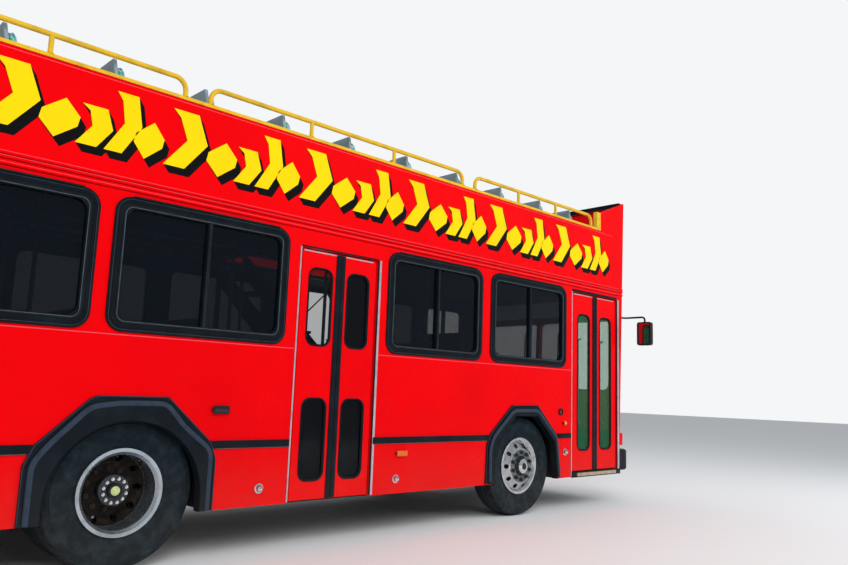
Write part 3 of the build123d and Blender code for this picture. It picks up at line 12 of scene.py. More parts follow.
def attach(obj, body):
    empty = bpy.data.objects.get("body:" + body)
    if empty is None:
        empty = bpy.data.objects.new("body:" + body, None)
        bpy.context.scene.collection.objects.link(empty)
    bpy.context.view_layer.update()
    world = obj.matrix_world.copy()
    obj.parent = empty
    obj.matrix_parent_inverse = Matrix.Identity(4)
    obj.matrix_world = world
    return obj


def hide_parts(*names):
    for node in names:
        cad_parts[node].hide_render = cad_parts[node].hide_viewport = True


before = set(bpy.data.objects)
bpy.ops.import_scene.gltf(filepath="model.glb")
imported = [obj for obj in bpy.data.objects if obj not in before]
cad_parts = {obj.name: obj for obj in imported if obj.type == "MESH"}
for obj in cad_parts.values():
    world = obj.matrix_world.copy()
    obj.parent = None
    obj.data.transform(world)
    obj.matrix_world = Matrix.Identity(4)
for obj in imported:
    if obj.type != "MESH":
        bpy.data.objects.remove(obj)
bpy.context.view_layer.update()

LOG = logging.getLogger("bus")

# Lengths shared with the frame, in metres
REAR_AXLE_X = -1.885
FRONT_AXLE_X = 2.458
WHEEL_Z = 0.525
HALF_WIDTH = 1.295
REAR_FACE_X = -4.585
FRONT_FOOT_X = REAR_AXLE_X + 6.243
LEAN = math.radians(2.15)
TYRE_OUTER_Y = HALF_WIDTH - 0.050
TYRE_WIDTH = 0.280
DUAL_SPACING = 0.330
WINDOW_FOOT_Z = 1.615
WINDOW_HEAD_Z = 2.570
FLOOR_Z = 0.885
FLOOR_FOOT_Z = FLOOR_Z - 0.050
UPPER_FLOOR_Z = 2.760
CEILING_Z = UPPER_FLOOR_Z - 0.090
COPING_TOP_Z = 3.418
NOSE_TOP_Z = 3.865
# Half width, foot and head of the windscreen, the blank sign and the rear window
WINDSCREEN = (1.150, 1.390, 2.290)
SIGN = (0.900, 2.370, 2.600)
REAR_WINDOW = (0.880, 1.690, 2.450)
# Radius of their corners
SCREEN_CORNER = 0.070
SIGN_CORNER = 0.040
REAR_CORNER = 0.110
# Width of the post between the windscreen's panes
SCREEN_POST = 0.060
SIDES = (("right", -1), ("left", 1))
BODY = "bus_body"
MM = 0.001

Socket = bpy.types.NodeSocket
Tree = bpy.types.NodeTree
Inputs = dict[str | int, object]


def along(distance: float) -> float:
    """X at a distance in metres ahead of the rear axle."""
    return REAR_AXLE_X + distance


def front_x(z: float) -> float:
    """X of the leaning front face at height z."""
    return FRONT_FOOT_X + z * math.tan(LEAN)


def side_place(side: int, out: float = 0.0) -> Matrix:
    """Matrix of a body side: local X along the bus, local Y up and local Z outward.

    Args:
        side: One for the left side, minus one for the right.
        out: Distance outward from the side wall's skin.

    Returns:
        The matrix from local to frame coordinates.
    """
    return Matrix(((1, 0, 0, 0), (0, 0, side, side * (HALF_WIDTH + out)), (0, 1, 0, 0), (0, 0, 0, 1)))


def front_place(out: float = 0.0) -> Matrix:
    """Matrix of the leaning front: local X to the left side, local Y up it, local Z outward.

    Args:
        out: Distance outward from the front's skin.

    Returns:
        The matrix from local to frame coordinates.
    """
    rise, lean = math.cos(LEAN), math.sin(LEAN)
    ahead = (0, lean, rise, FRONT_FOOT_X + out * rise)
    return Matrix((ahead, (1, 0, 0, 0), (0, rise, -lean, -out * lean), (0, 0, 0, 1)))


def rear_place(out: float = 0.0) -> Matrix:
    """Matrix of the rear face: local X to the right side, local Y up, local Z outward."""
    return Matrix(((0, 0, -1, REAR_FACE_X - out), (-1, 0, 0, 0), (0, 1, 0, 0), (0, 0, 0, 1)))


def axle_place(axle_x: float, side: int) -> Matrix:
    """Matrix of a wheel: local Z outward along the axle from the tyre's outer face."""
    outward = (0, 0, side, side * TYRE_OUTER_Y)
    return Matrix(((1, 0, 0, axle_x), outward, (0, 1, 0, WHEEL_Z), (0, 0, 0, 1)))


def linear(hex_colour: str) -> tuple[float, float, float, float]:
    """Turns an sRGB hex colour into the linear colour that a shader reads.

    Args:
        hex_colour: Six hex digits with a leading hash.

    Returns:
        Linear red, green, blue and an alpha of one.
    """
    channels = [int(hex_colour[i : i + 2], 16) / 255 for i in (1, 3, 5)]
    return (*[c / 12.92 if c <= 0.04045 else ((c + 0.055) / 1.055) ** 2.4 for c in channels], 1.0)


def feed(tree: Tree, node: bpy.types.Node, inputs: Inputs) -> None:
    """Links a node's inputs from output sockets, or sets them to values.

    Args:
        tree: The node tree of a material or world.
        node: The node to feed.
        inputs: Socket name or number to a value, or to an output socket to link from.
    """
    for key, value in inputs.items():
        if isinstance(value, Socket):
            tree.links.new(value, node.inputs[key])
        else:
            node.inputs[key].default_value = value


def add_node(tree: Tree, kind: str, inputs: Inputs | None = None, **settings: object) -> bpy.types.Node:
    """Adds a shader node with its settings, and links or sets its inputs.

    Args:
        tree: The node tree of a material or world.
        kind: Blender's type name of the node.
        inputs: Socket name or number to a value, or to an output socket to link from.
        settings: Attributes of the node itself.

    Returns:
        The new node.
    """
    node = tree.nodes.new(kind)
    for name, value in settings.items():
        setattr(node, name, value)
    feed(tree, node, inputs or {})
    return node


class Grain(Enum):
    """How a finish's fine relief is made."""

    NONE = "none"
    CAST = "cast"
    PEEL = "peel"
    BRUSHED = "brushed"


def scaled(tree: Tree, value: Socket, low: float, high: float, to_low: float, to_high: float) -> Socket:
    """Maps a value from one range to another and clamps it.

    Args:
        tree: The material's node tree.
        value: The value's socket.
        low: Start of the old range.
        high: End of the old range.
        to_low: What the start becomes.
        to_high: What the end becomes.

    Returns:
        The mapped value's socket.
    """
    inputs = {"Value": value, "From Min": low, "From Max": high, "To Min": to_low, "To Max": to_high}
    return add_node(tree, "ShaderNodeMapRange", inputs).outputs["Result"]


def maths(tree: Tree, operation: str, *values: Socket | float) -> Socket:
    """One Math node on sockets or numbers."""
    inputs = dict(enumerate(values))
    return add_node(tree, "ShaderNodeMath", inputs, operation=operation).outputs["Value"]


def mixed(tree: Tree, amount: Socket, first: object, second: object) -> Socket:
    """Mixes two colours, each a socket or a linear colour, by an amount."""
    inputs = {0: amount, 6: first, 7: second}
    return add_node(tree, "ShaderNodeMix", inputs, data_type="RGBA").outputs[2]


def noise(tree: Tree, place: Socket, size_mm: float, detail: float) -> Socket:
    """Noise whose blobs are about one size in millimetres."""
    inputs = {"Vector": place, "Scale": 1 / (size_mm * MM), "Detail": detail}
    return add_node(tree, "ShaderNodeTexNoise", inputs).outputs["Fac"]


def emboss(tree: Tree, shader: bpy.types.Node, height: Socket, relief_mm: float) -> None:
    """Drives a shader's normal from a height pattern."""
    inputs = {"Height": height, "Distance": relief_mm * MM, "Strength": 0.8}
    feed(tree, shader, {"Normal": add_node(tree, "ShaderNodeBump", inputs).outputs["Normal"]})


class Surface:
    """What all finishes share: a named material that is built once."""

    name: str

    def material(self) -> bpy.types.Material:
        """Builds the material once and returns it on every later call.

        Returns:
            The material.
        """
        made = bpy.data.materials.get(self.name)
        if made is None:
            made = bpy.data.materials.new(self.name)
            made.use_nodes = True
            place = add_node(made.node_tree, "ShaderNodeTexCoord").outputs["Object"]
            self.dress(made.node_tree, made.node_tree.nodes["Principled BSDF"], place)
        return made

    def dress(self, tree: Tree, shader: bpy.types.Node, place: Socket) -> None:
        """Sets and links the shader's inputs, which each kind of finish does its own way."""
        raise NotImplementedError


@dataclass(frozen=True)
class Finish(Surface):
    """A surface finish: base colour with variation, relief and grime.

    Args:
        name: What the material is, in a maker's words.
        slot: The record's slot that it belongs to.
        colour: Base colour, sRGB hex.
        worn: Colour of the worn or faded patches, sRGB hex.
        rough: Roughness of the clean surface.
        metallic: One for bare metal, else zero.
        shine: Specular level of a non-metal, a half for a full one.
        grain: Kind of relief.
        grain_mm: Size of the relief's pattern in millimetres.
        relief_mm: Height of the relief in millimetres.
        wear: Share of the worn colour where the patches are strongest.
        patch_mm: Size of the worn patches in millimetres.
        dust: Share of road dust near the ground.
    """

    name: str
    slot: str
    colour: str
    worn: str
    rough: float = 0.5
    metallic: float = 0.0
    shine: float = 0.5
    grain: Grain = Grain.NONE
    grain_mm: float = 2.0
    relief_mm: float = 0.05
    wear: float = 0.25
    patch_mm: float = 300.0
    dust: float = 0.0

    def dress(self, tree: Tree, shader: bpy.types.Node, place: Socket) -> None:
        """Feeds the shader with the worn colour, the roughness and the relief.

        Args:
            tree: Node tree of the material.
            shader: The material's shader.
            place: Socket of the object's coordinates.
        """
        looks = {
            "Metallic": self.metallic, "Specular IOR Level": self.shine,
            "Base Color": self.colours(tree, place), "Roughness": self.roughness(tree, place),
        }
        feed(tree, shader, looks)
        if self.grain is not Grain.NONE:
            emboss(tree, shader, self.relief(tree, place), self.relief_mm)

    def colours(self, tree: Tree, place: Socket) -> Socket:
        """Base colour with worn patches, and pale road dust that thins out upward.

        Args:
            tree: Node tree of the material.
            place: Socket of the object's coordinates.

        Returns:
            The colour's socket.
        """
        patches = noise(tree, place, self.patch_mm, 6.0)
        amount = scaled(tree, patches, 0.45, 0.75, 0.0, self.wear)
        colour = mixed(tree, amount, linear(self.colour), linear(self.worn))
        if not self.dust:
            return colour
        height = add_node(tree, "ShaderNodeSeparateXYZ", {"Vector": place}).outputs["Z"]
        low = scaled(tree, height, 0.85, 0.30, 0.0, self.dust)
        amount = maths(tree, "MULTIPLY", low, noise(tree, place, 70.0, 8.0))
        return mixed(tree, amount, colour, linear("#6E6256"))

    def roughness(self, tree: Tree, place: Socket) -> Socket:
        """Roughness that wanders a little round the clean value."""
        patches = noise(tree, place, self.patch_mm * 0.4, 4.0)
        return scaled(tree, patches, 0.3, 0.7, self.rough * 0.85, min(1.0, self.rough * 1.25))

    def relief(self, tree: Tree, place: Socket) -> Socket:
        """Height pattern of the finish's grain.

        Args:
            tree: Node tree of the material.
            place: Socket of the object's coordinates.

        Returns:
            The height's socket.
        """
        if self.grain is Grain.BRUSHED:
            stretch = {"Vector": place, "Scale": (1.0, 12.0, 12.0)}
            stretched = add_node(tree, "ShaderNodeMapping", stretch).outputs["Vector"]
            return noise(tree, stretched, self.grain_mm * 8, 3.0)
        return noise(tree, place, self.grain_mm, 8.0 if self.grain is Grain.CAST else 1.5)


class Part(Enum):
    """Which share of a node a second finish covers."""

    INSIDE = "nearer the centre line than a distance"
    ABOVE = "higher than a height"
    RIM = "farther from the axle than a radius"


@dataclass(frozen=True)
class Shared(Surface):
    """Two finishes on one node, parted at a plane or a radius.

    Args:
        name: The material's name.
        first: Finish of the main share.
        second: Finish of the other share.
        part: Where the second finish lies.
        limit: The distance, height or radius where they meet, in metres.
        axle_x: X of the axle, where a radius parts them.
    """

    name: str
    first: Finish
    second: Finish
    part: Part
    limit: float
    axle_x: float = 0.0

    @property
    def slot(self) -> str:
        """The record's slot of the main finish."""
        return self.first.slot

    def mask(self, tree: Tree, place: Socket) -> Socket:
        """One where the second finish lies.

        Args:
            tree: Node tree of the material.
            place: Socket of the object's coordinates.

        Returns:
            The mask's socket.
        """
        axes = add_node(tree, "ShaderNodeSeparateXYZ", {"Vector": place})
        if self.part is Part.ABOVE:
            return maths(tree, "GREATER_THAN", axes.outputs["Z"], self.limit)
        if self.part is Part.INSIDE:
            return maths(tree, "LESS_THAN", maths(tree, "ABSOLUTE", axes.outputs["Y"]), self.limit)
        across = maths(tree, "SUBTRACT", axes.outputs["X"], self.axle_x)
        up = maths(tree, "SUBTRACT", axes.outputs["Z"], WHEEL_Z)
        squares = (maths(tree, "MULTIPLY", way, way) for way in (across, up))
        return maths(tree, "GREATER_THAN", maths(tree, "ADD", *squares), self.limit**2)

    def dress(self, tree: Tree, shader: bpy.types.Node, place: Socket) -> None:
        """Mixes what both finishes feed to the shader, with the first one's shine and relief.

        Args:
            tree: Node tree of the material.
            shader: The material's shader.
            place: Socket of the object's coordinates.
        """
        first, second, mask = self.first, self.second, self.mask(tree, place)
        rough = {0: mask, 2: first.roughness(tree, place), 3: second.roughness(tree, place)}
        looks = {
            "Specular IOR Level": first.shine,
            "Base Color": mixed(tree, mask, first.colours(tree, place), second.colours(tree, place)),
            "Roughness": add_node(tree, "ShaderNodeMix", rough).outputs[0],
            "Metallic": scaled(tree, mask, 0.0, 1.0, first.metallic, second.metallic),
        }
        feed(tree, shader, looks)
        emboss(tree, shader, first.relief(tree, place), first.relief_mm)


@dataclass(frozen=True)
class Glass(Surface):
    """Float glass: a thin tinted pane that the export keeps as see-through.

    Args:
        name: What the glass is.
        slot: The record's slot that it belongs to.
        tint: Colour of the glass itself, sRGB hex.
        clear: Share of light that passes, from 0 to 1.
        shine: Specular level, a half for a full one.
    """

    name: str
    slot: str
    tint: str
    clear: float
    shine: float = 0.3

    def dress(self, tree: Tree, shader: bpy.types.Node, place: Socket) -> None:
        """Feeds the shader with a smeared, see-through tint.

        Args:
            tree: Node tree of the material.
            shader: The material's shader.
            place: Socket of the object's coordinates.
        """
        looks = {
            "Roughness": scaled(tree, noise(tree, place, 350.0, 5.0), 0.3, 0.7, 0.01, 0.07),
            "Base Color": linear(self.tint), "Alpha": 1 - self.clear, "IOR": 1.52,
            "Specular IOR Level": self.shine,
        }
        feed(tree, shader, looks)


@dataclass(frozen=True)
class Moquette(Surface):
    """Printed moquette: bands of colour that wander over a short woven pile.

    Args:
        name: What the cloth is.
        slot: The record's slot that it belongs to.
        bands: Colours of the bands, sRGB hex, with the share where each starts.
        band_mm: Width of one set of bands in millimetres.
    """

    name: str
    slot: str
    bands: tuple[tuple[float, str], ...]
    band_mm: float

    def dress(self, tree: Tree, shader: bpy.types.Node, place: Socket) -> None:
        """Feeds the shader with the printed bands, a fluffy pile and its relief.

        Args:
            tree: Node tree of the material.
            shader: The material's shader.
            place: Socket of the object's coordinates.
        """
        waves = {
            "Vector": place, "Scale": 0.31 / (self.band_mm * MM), "Distortion": 6.0, "Detail": 1.0,
            "Detail Scale": 3.0,
        }
        wave = add_node(tree, "ShaderNodeTexWave", waves, bands_direction="DIAGONAL", wave_profile="SAW")
        ramp = add_node(tree, "ShaderNodeValToRGB", {"Fac": wave.outputs["Fac"]})
        ramp.color_ramp.interpolation = "CONSTANT"
        stops = ramp.color_ramp.elements
        while len(stops) < len(self.bands):
            stops.new(0.5)
        for stop, (start, colour) in zip(stops, self.bands):
            stop.position = start
            stop.color = linear(colour)
        fluff = scaled(tree, noise(tree, place, 4.0, 6.0), 0.3, 0.7, 0.0, 0.25)
        colour = mixed(tree, fluff, ramp.outputs["Color"], linear("#20303A"))
        feed(tree, shader, {"Base Color": colour, "Roughness": 0.9, "Sheen Weight": 0.35})
        emboss(tree, shader, noise(tree, place, 2.5, 3.0), 0.6)


# Two pack enamel sprayed on sheet steel: deep red, a little orange peel, darker where it has faded
RED_ENAMEL = Finish(
    "red_two_pack_enamel", "red_paint", "#E80108", "#D2010A", rough=0.24, shine=0.05,
    grain=Grain.PEEL, grain_mm=14.0, relief_mm=0.06, wear=0.55, patch_mm=900.0, dust=0.2,
)
# The same enamel darkened to a deep red, as painted shade in the grooves under the cornice ridges
PAINTED_GROOVE_SHADE = Finish("dirty_red_enamel", "red_paint", "#6E0508", "#4A0406", rough=0.6, shine=0.1)
# Grey laminate board that lines the saloon, wiped dull
LINING = Finish("grey_lining_laminate", "red_paint", "#2B3034", "#3A4045", rough=0.6, wear=0.5)
# Yellow enamel brushed on tube and coping: soft gloss, rubbed dark where hands hold it
YELLOW_ENAMEL = Finish(
    "yellow_brushed_enamel", "yellow_paint", "#DFB324", "#A5842A", rough=0.35, shine=0.35,
    grain=Grain.PEEL, grain_mm=5.0, relief_mm=0.1, wear=0.6, patch_mm=110.0,
)
# Cut vinyl film: flat strong yellow, satin, a little faded
YELLOW_FILM = Finish(
    "yellow_cut_film", "yellow_paint", "#FBD106", "#EDBE08", rough=0.42, shine=0.12, wear=0.5,
    patch_mm=500.0,
)
# Cut vinyl film in black, satin, for the frieze's printed block shadow; the same black is also painted shade
# on the inner face of the darkened door panes
BLACK_FILM_AND_PANE_SHADE = Finish("black_cut_film", "black_plastic", "#060708", "#0E0F10", rough=0.45, shine=0.15)
# Extruded EPDM rubber: blue black, bloomed grey where it has weathered
RUBBER = Finish(
    "weathered_epdm_rubber", "black_rubber", "#0C141B", "#18242D", rough=0.5, shine=0.14,
    grain=Grain.CAST, grain_mm=3.0, relief_mm=0.08, wear=0.5, patch_mm=160.0, dust=0.12,
)
# Vulcanised tyre rubber: dull blue black, dusty on the flanks
TYRE_RUBBER = Finish(
    "vulcanised_tyre_rubber", "tyre_rubber", "#0E1B22", "#21343D", rough=0.72, shine=0.2,
    grain=Grain.CAST, grain_mm=2.5, relief_mm=0.12, wear=0.6, patch_mm=70.0, dust=0.15,
)
# Chassis black over rolled steel, dusty and rust stained
CHASSIS_BLACK = Finish(
    "chassis_black_paint", "frame_steel", "#17181A", "#3C2E24", rough=0.6, shine=0.3,
    grain=Grain.CAST, grain_mm=4.0, relief_mm=0.15, wear=0.7, patch_mm=120.0, dust=0.4,
)
# Chlorinated rubber flap, dull black and dusty
FLAP_RUBBER = Finish(
    "dusty_flap_rubber", "black_rubber", "#0C1013", "#1C1F20", rough=0.8, shine=0.15, wear=0.6,
    patch_mm=120.0, dust=0.3,
)
# Blue grey painted highlight along the raised bead and the outer rim of the arch rubber
PAINTED_BEAD_HIGHLIGHT = Finish(
    "bleached_grey_rubber", "black_rubber", "#2E3B4B", "#202C39", rough=0.5, shine=0.2, wear=0.8,
    patch_mm=70.0,
)
# Pale pink painted highlight on the red seam beads and along the cornice ridges
PAINTED_PINK_HIGHLIGHT = Finish("pale_red_seam_sealer", "red_paint", "#F0505E", "#D83040", rough=0.4, shine=0.3)
# Cast iron with a film of rust and oil
CAST_IRON = Finish(
    "cast_axle_iron", "axle_iron", "#332D28", "#563A26", rough=0.65, shine=0.3,
    grain=Grain.CAST, grain_mm=3.0, relief_mm=0.3, wear=0.8, patch_mm=60.0, dust=0.3,
)
# Forged aluminium, polished and lightly scratched: bright, with grey haze
POLISHED_ALLOY = Finish(
    "polished_forged_aluminium", "polished_alloy", "#C9CBCE", "#85888C", rough=0.22,
    metallic=1.0, grain=Grain.BRUSHED, grain_mm=0.6, relief_mm=0.03, wear=0.7, patch_mm=50.0,
)
# The same forging, darker grey and duller inside the nut circle
DARK_CENTRE_ALLOY = Finish(
    "stained_forged_aluminium", "polished_alloy", "#7E8582", "#4C504C", rough=0.38,
    metallic=0.8, grain=Grain.CAST, grain_mm=3.0, relief_mm=0.05, wear=0.9, patch_mm=35.0,
)
# Chromium plate over steel pressings: mirror bright with small pits
CHROME = Finish(
    "chromium_plate", "polished_alloy", "#DADCDE", "#9A9DA0", rough=0.12, metallic=1.0,
    grain=Grain.CAST, grain_mm=3.0, relief_mm=0.02, wear=0.4, patch_mm=15.0,
)
# Mill finish aluminium extrusion: pale, dull, scuffed
MILL_ALUMINIUM = Finish(
    "mill_aluminium", "frame_steel", "#C8C4CC", "#8E8A94", rough=0.36, metallic=0.6,
    grain=Grain.BRUSHED, grain_mm=0.8, relief_mm=0.03, wear=0.6, patch_mm=60.0,
)
# Stainless handrail tube, brushed along and hand polished
BRUSHED_STEEL = Finish(
    "brushed_stainless_tube", "frame_steel", "#B9BCBE", "#8B8F92", rough=0.3, metallic=1.0,
    grain=Grain.BRUSHED, grain_mm=0.5, relief_mm=0.02, wear=0.5, patch_mm=90.0,
)
# Black anodised aluminium sash, dull
DARK_ANODISED = Finish(
    "black_anodised_aluminium", "frame_steel", "#0C1216", "#1B262C", rough=0.5, metallic=0.3,
    grain=Grain.BRUSHED, grain_mm=0.8, relief_mm=0.02, wear=0.7, patch_mm=80.0,
)
# Painted highlight: thin pale grey lines along the window sashes and along the rub rails' foot
PAINTED_EDGE_HIGHLIGHT = Finish(
    "rubbed_aluminium_edge", "frame_steel", "#5C6B72", "#39464D", rough=0.4, metallic=0.5, wear=0.9,
    patch_mm=60.0,
)
# Ribbed aluminium tread nosing, worn warm and pale
TREAD_ALUMINIUM = Finish(
    "worn_tread_aluminium", "frame_steel", "#B9A98C", "#7C705C", rough=0.5, metallic=0.3, wear=0.7,
    patch_mm=90.0,
)
# Pressed steel wheel disc: old black paint, brake dust and rust
RUSTY_DISC = Finish(
    "rusty_wheel_disc_steel", "worn_steel", "#1C1B19", "#40301F", rough=0.6, shine=0.3,
    grain=Grain.CAST, grain_mm=3.0, relief_mm=0.25, wear=0.8, patch_mm=40.0,
)
# Machined steel flange gone dark with grease and road dirt
FLANGE_STEEL = Finish(
    "greasy_dark_steel", "worn_steel", "#4A5156", "#1C1D1D", rough=0.4, metallic=0.6,
    grain=Grain.CAST, grain_mm=3.0, relief_mm=0.1, wear=0.6, patch_mm=30.0,
)
# Silver wheel enamel on the rolled rim, stained by the road
SILVER_ENAMEL = Finish(
    "silver_wheel_enamel", "worn_steel", "#B9C4CC", "#76838D", rough=0.24, metallic=0.9,
    grain=Grain.PEEL, grain_mm=5.0, relief_mm=0.03, wear=0.6, patch_mm=110.0,
)
# Injection moulded plastic with a fine leather grain
BLACK_PLASTIC = Finish(
    "grained_black_plastic", "black_plastic", "#14171A", "#25292C", rough=0.5, shine=0.4,
    grain=Grain.CAST, grain_mm=1.2, relief_mm=0.05, wear=0.4, patch_mm=200.0,
)
# Glass fibre seat shell with a pale blue grey gel coat
SEAT_SHELL = Finish(
    "grey_gel_coat", "seat_shell", "#8FA3B0", "#6E8290", rough=0.38, shine=0.4,
    grain=Grain.PEEL, grain_mm=8.0, relief_mm=0.05, wear=0.5, patch_mm=150.0,
)
# Ribbed vinyl floor covering with a worn aisle
FLOOR_VINYL = Finish(
    "grey_floor_vinyl", "floor_cover", "#1C1F21", "#2E3133", rough=0.65, shine=0.15, wear=0.7,
    patch_mm=250.0,
)


def acrylic(tone: str, colour: str, worn: str, rough: float = 0.15) -> Finish:
    """Moulded acrylic lens: clear colour, glossy, a little crazed."""
    name = f"{tone}_acrylic_lens"
    return Finish(name, "lens_plastic", colour, worn, rough=rough, wear=0.5, patch_mm=30.0)


AMBER_LENS = acrylic("amber", "#E2640C", "#B8480A")
RED_LENS = acrylic("red", "#8E0A0C", "#5E0608")
SMOKED_LENS = acrylic("smoked", "#1A0F16", "#2A1820")
WHITE_LENS = acrylic("clear", "#C9D2D6", "#A4AEB2", 0.1)
# White baked enamel on sheet aluminium, left blank
PLATE_ENAMEL = Finish(
    "white_plate_enamel", "frame_steel", "#D8DAD6", "#B5B8B2", rough=0.3, shine=0.4, wear=0.4,
    patch_mm=60.0,
)
# Silvered mirror glass with a film of dust
MIRROR_SILVER = Finish(
    "silvered_mirror_glass", "polished_alloy", "#A9ADAC", "#8D918F", rough=0.06, metallic=1.0,
    wear=0.3, patch_mm=60.0,
)
# Pale yellow green plastic dust cap
DUST_CAP = Finish(
    "pale_green_plastic", "lens_plastic", "#C6D48E", "#8E9A66", rough=0.45, wear=0.6, patch_mm=18.0
)
# Enamelled castings of the engine, oily and dusty
ENGINE_GREY = Finish(
    "engine_enamel", "engine_iron", "#3C4142", "#2A2723", rough=0.55, shine=0.3,
    grain=Grain.CAST, grain_mm=4.0, relief_mm=0.2, wear=0.8, patch_mm=90.0,
)
# Soft vinyl welt in pale blue
WELT = Finish(
    "pale_blue_vinyl_welt", "seat_cloth", "#8FBFD6", "#6E9DB4", rough=0.45, shine=0.3, wear=0.5,
    patch_mm=120.0,
)
# Saloon cloth: blue grey bands
SALOON_CLOTH = Moquette(
    "blue_grey_moquette", "seat_cloth",
    ((0.0, "#31536B"), (0.35, "#6E8FA6"), (0.5, "#26415A"), (0.8, "#9DB4C4")), 60.0,
)
# Upper deck cloth: teal, green, white and navy bands
DECK_CLOTH = Moquette(
    "teal_banded_vinyl_cloth", "seat_cloth",
    ((0.0, "#3FB5B5"), (0.3, "#DCEBE8"), (0.48, "#1A2A3C"), (0.62, "#47C07A"), (0.82, "#8CD2DC")), 110.0,
)
SALOON_GLASS = Glass("grey_tinted_float_glass", "tinted_glass", "#050D16", 0.30, 0.16)
DOOR_GLASS = Glass("clear_toughened_glass", "clear_glass", "#080E14", 0.64, 0.2)
ENTRANCE_GLASS = Glass("green_toughened_glass", "clear_glass", "#2C6E4A", 0.62, 0.2)
SCREEN_GLASS = Glass("green_laminated_glass", "clear_glass", "#4C7A62", 0.88, 0.25)
LINED_RED = Shared("red_enamel_with_lining", RED_ENAMEL, LINING, Part.INSIDE, HALF_WIDTH - 0.039)
CAPPED_RED = Shared("red_enamel_with_rubber_cap", RED_ENAMEL, RUBBER, Part.ABOVE, NOSE_TOP_Z - 0.058)
FRONT_WHEEL_ALLOY = Shared(
    "polished_rim_stained_centre", DARK_CENTRE_ALLOY, POLISHED_ALLOY, Part.RIM, 0.178, FRONT_AXLE_X
)
REAR_WHEEL_STEEL = Shared("silver_rim_rusty_disc", RUSTY_DISC, SILVER_ENAMEL, Part.RIM, 0.251, REAR_AXLE_X)

FINISHED_NODES = (
    (LINED_RED, "side_wall_right side_wall_left"),
    (RED_ENAMEL, "front_wall rear_wall engine_door upper_side_right upper_side_left upper_rear_wall"),
    (CAPPED_RED, "upper_front_wall"),
    (FLOOR_VINYL, "lower_floor upper_floor"),
    (CHASSIS_BLACK, "stairs chassis_frame leaf_springs"),
    (YELLOW_ENAMEL, "guard_rails"),
    (RUBBER, "window_frames arch_trims rub_rails front_bumper rear_bumper"),
    (SALOON_GLASS, "window_glass"),
    (CAST_IRON, "front_axle rear_axle"),
    (ENGINE_GREY, "engine"),
    (SEAT_SHELL, "lower_seat_frames upper_seat_frames"),
    (SALOON_CLOTH, "lower_seat_pads"),
    (DECK_CLOTH, "upper_seat_pads"),
    (BLACK_PLASTIC, "driver_seat dashboard steering_wheel mirrors lamps"),
)
NODE_FINISHES: dict[str, Surface] = {
    node: finish for finish, nodes in FINISHED_NODES for node in nodes.split()
}


def node_finish(node: str) -> Surface:
    """Finish of a frame node, from the table or from its kind.

    Args:
        node: Name of the node.

    Returns:
        Its finish.
    """
    if node in NODE_FINISHES:
        return NODE_FINISHES[node]
    if "glass" in node:
        return ENTRANCE_GLASS if node.startswith("front") else DOOR_GLASS
    if "leaf" in node:
        return RED_ENAMEL
    if node.startswith("tyre"):
        return TYRE_RUBBER
    if node.startswith("wheel_front"):
        return FRONT_WHEEL_ALLOY
    if node.startswith("wheel_rear"):
        return REAR_WHEEL_STEEL
    return CAST_IRON


def dress_frame() -> None:
    """Gives each frame node its finish."""
    for name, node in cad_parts.items():
        node.data.materials.clear()
        node.data.materials.append(node_finish(name).material())


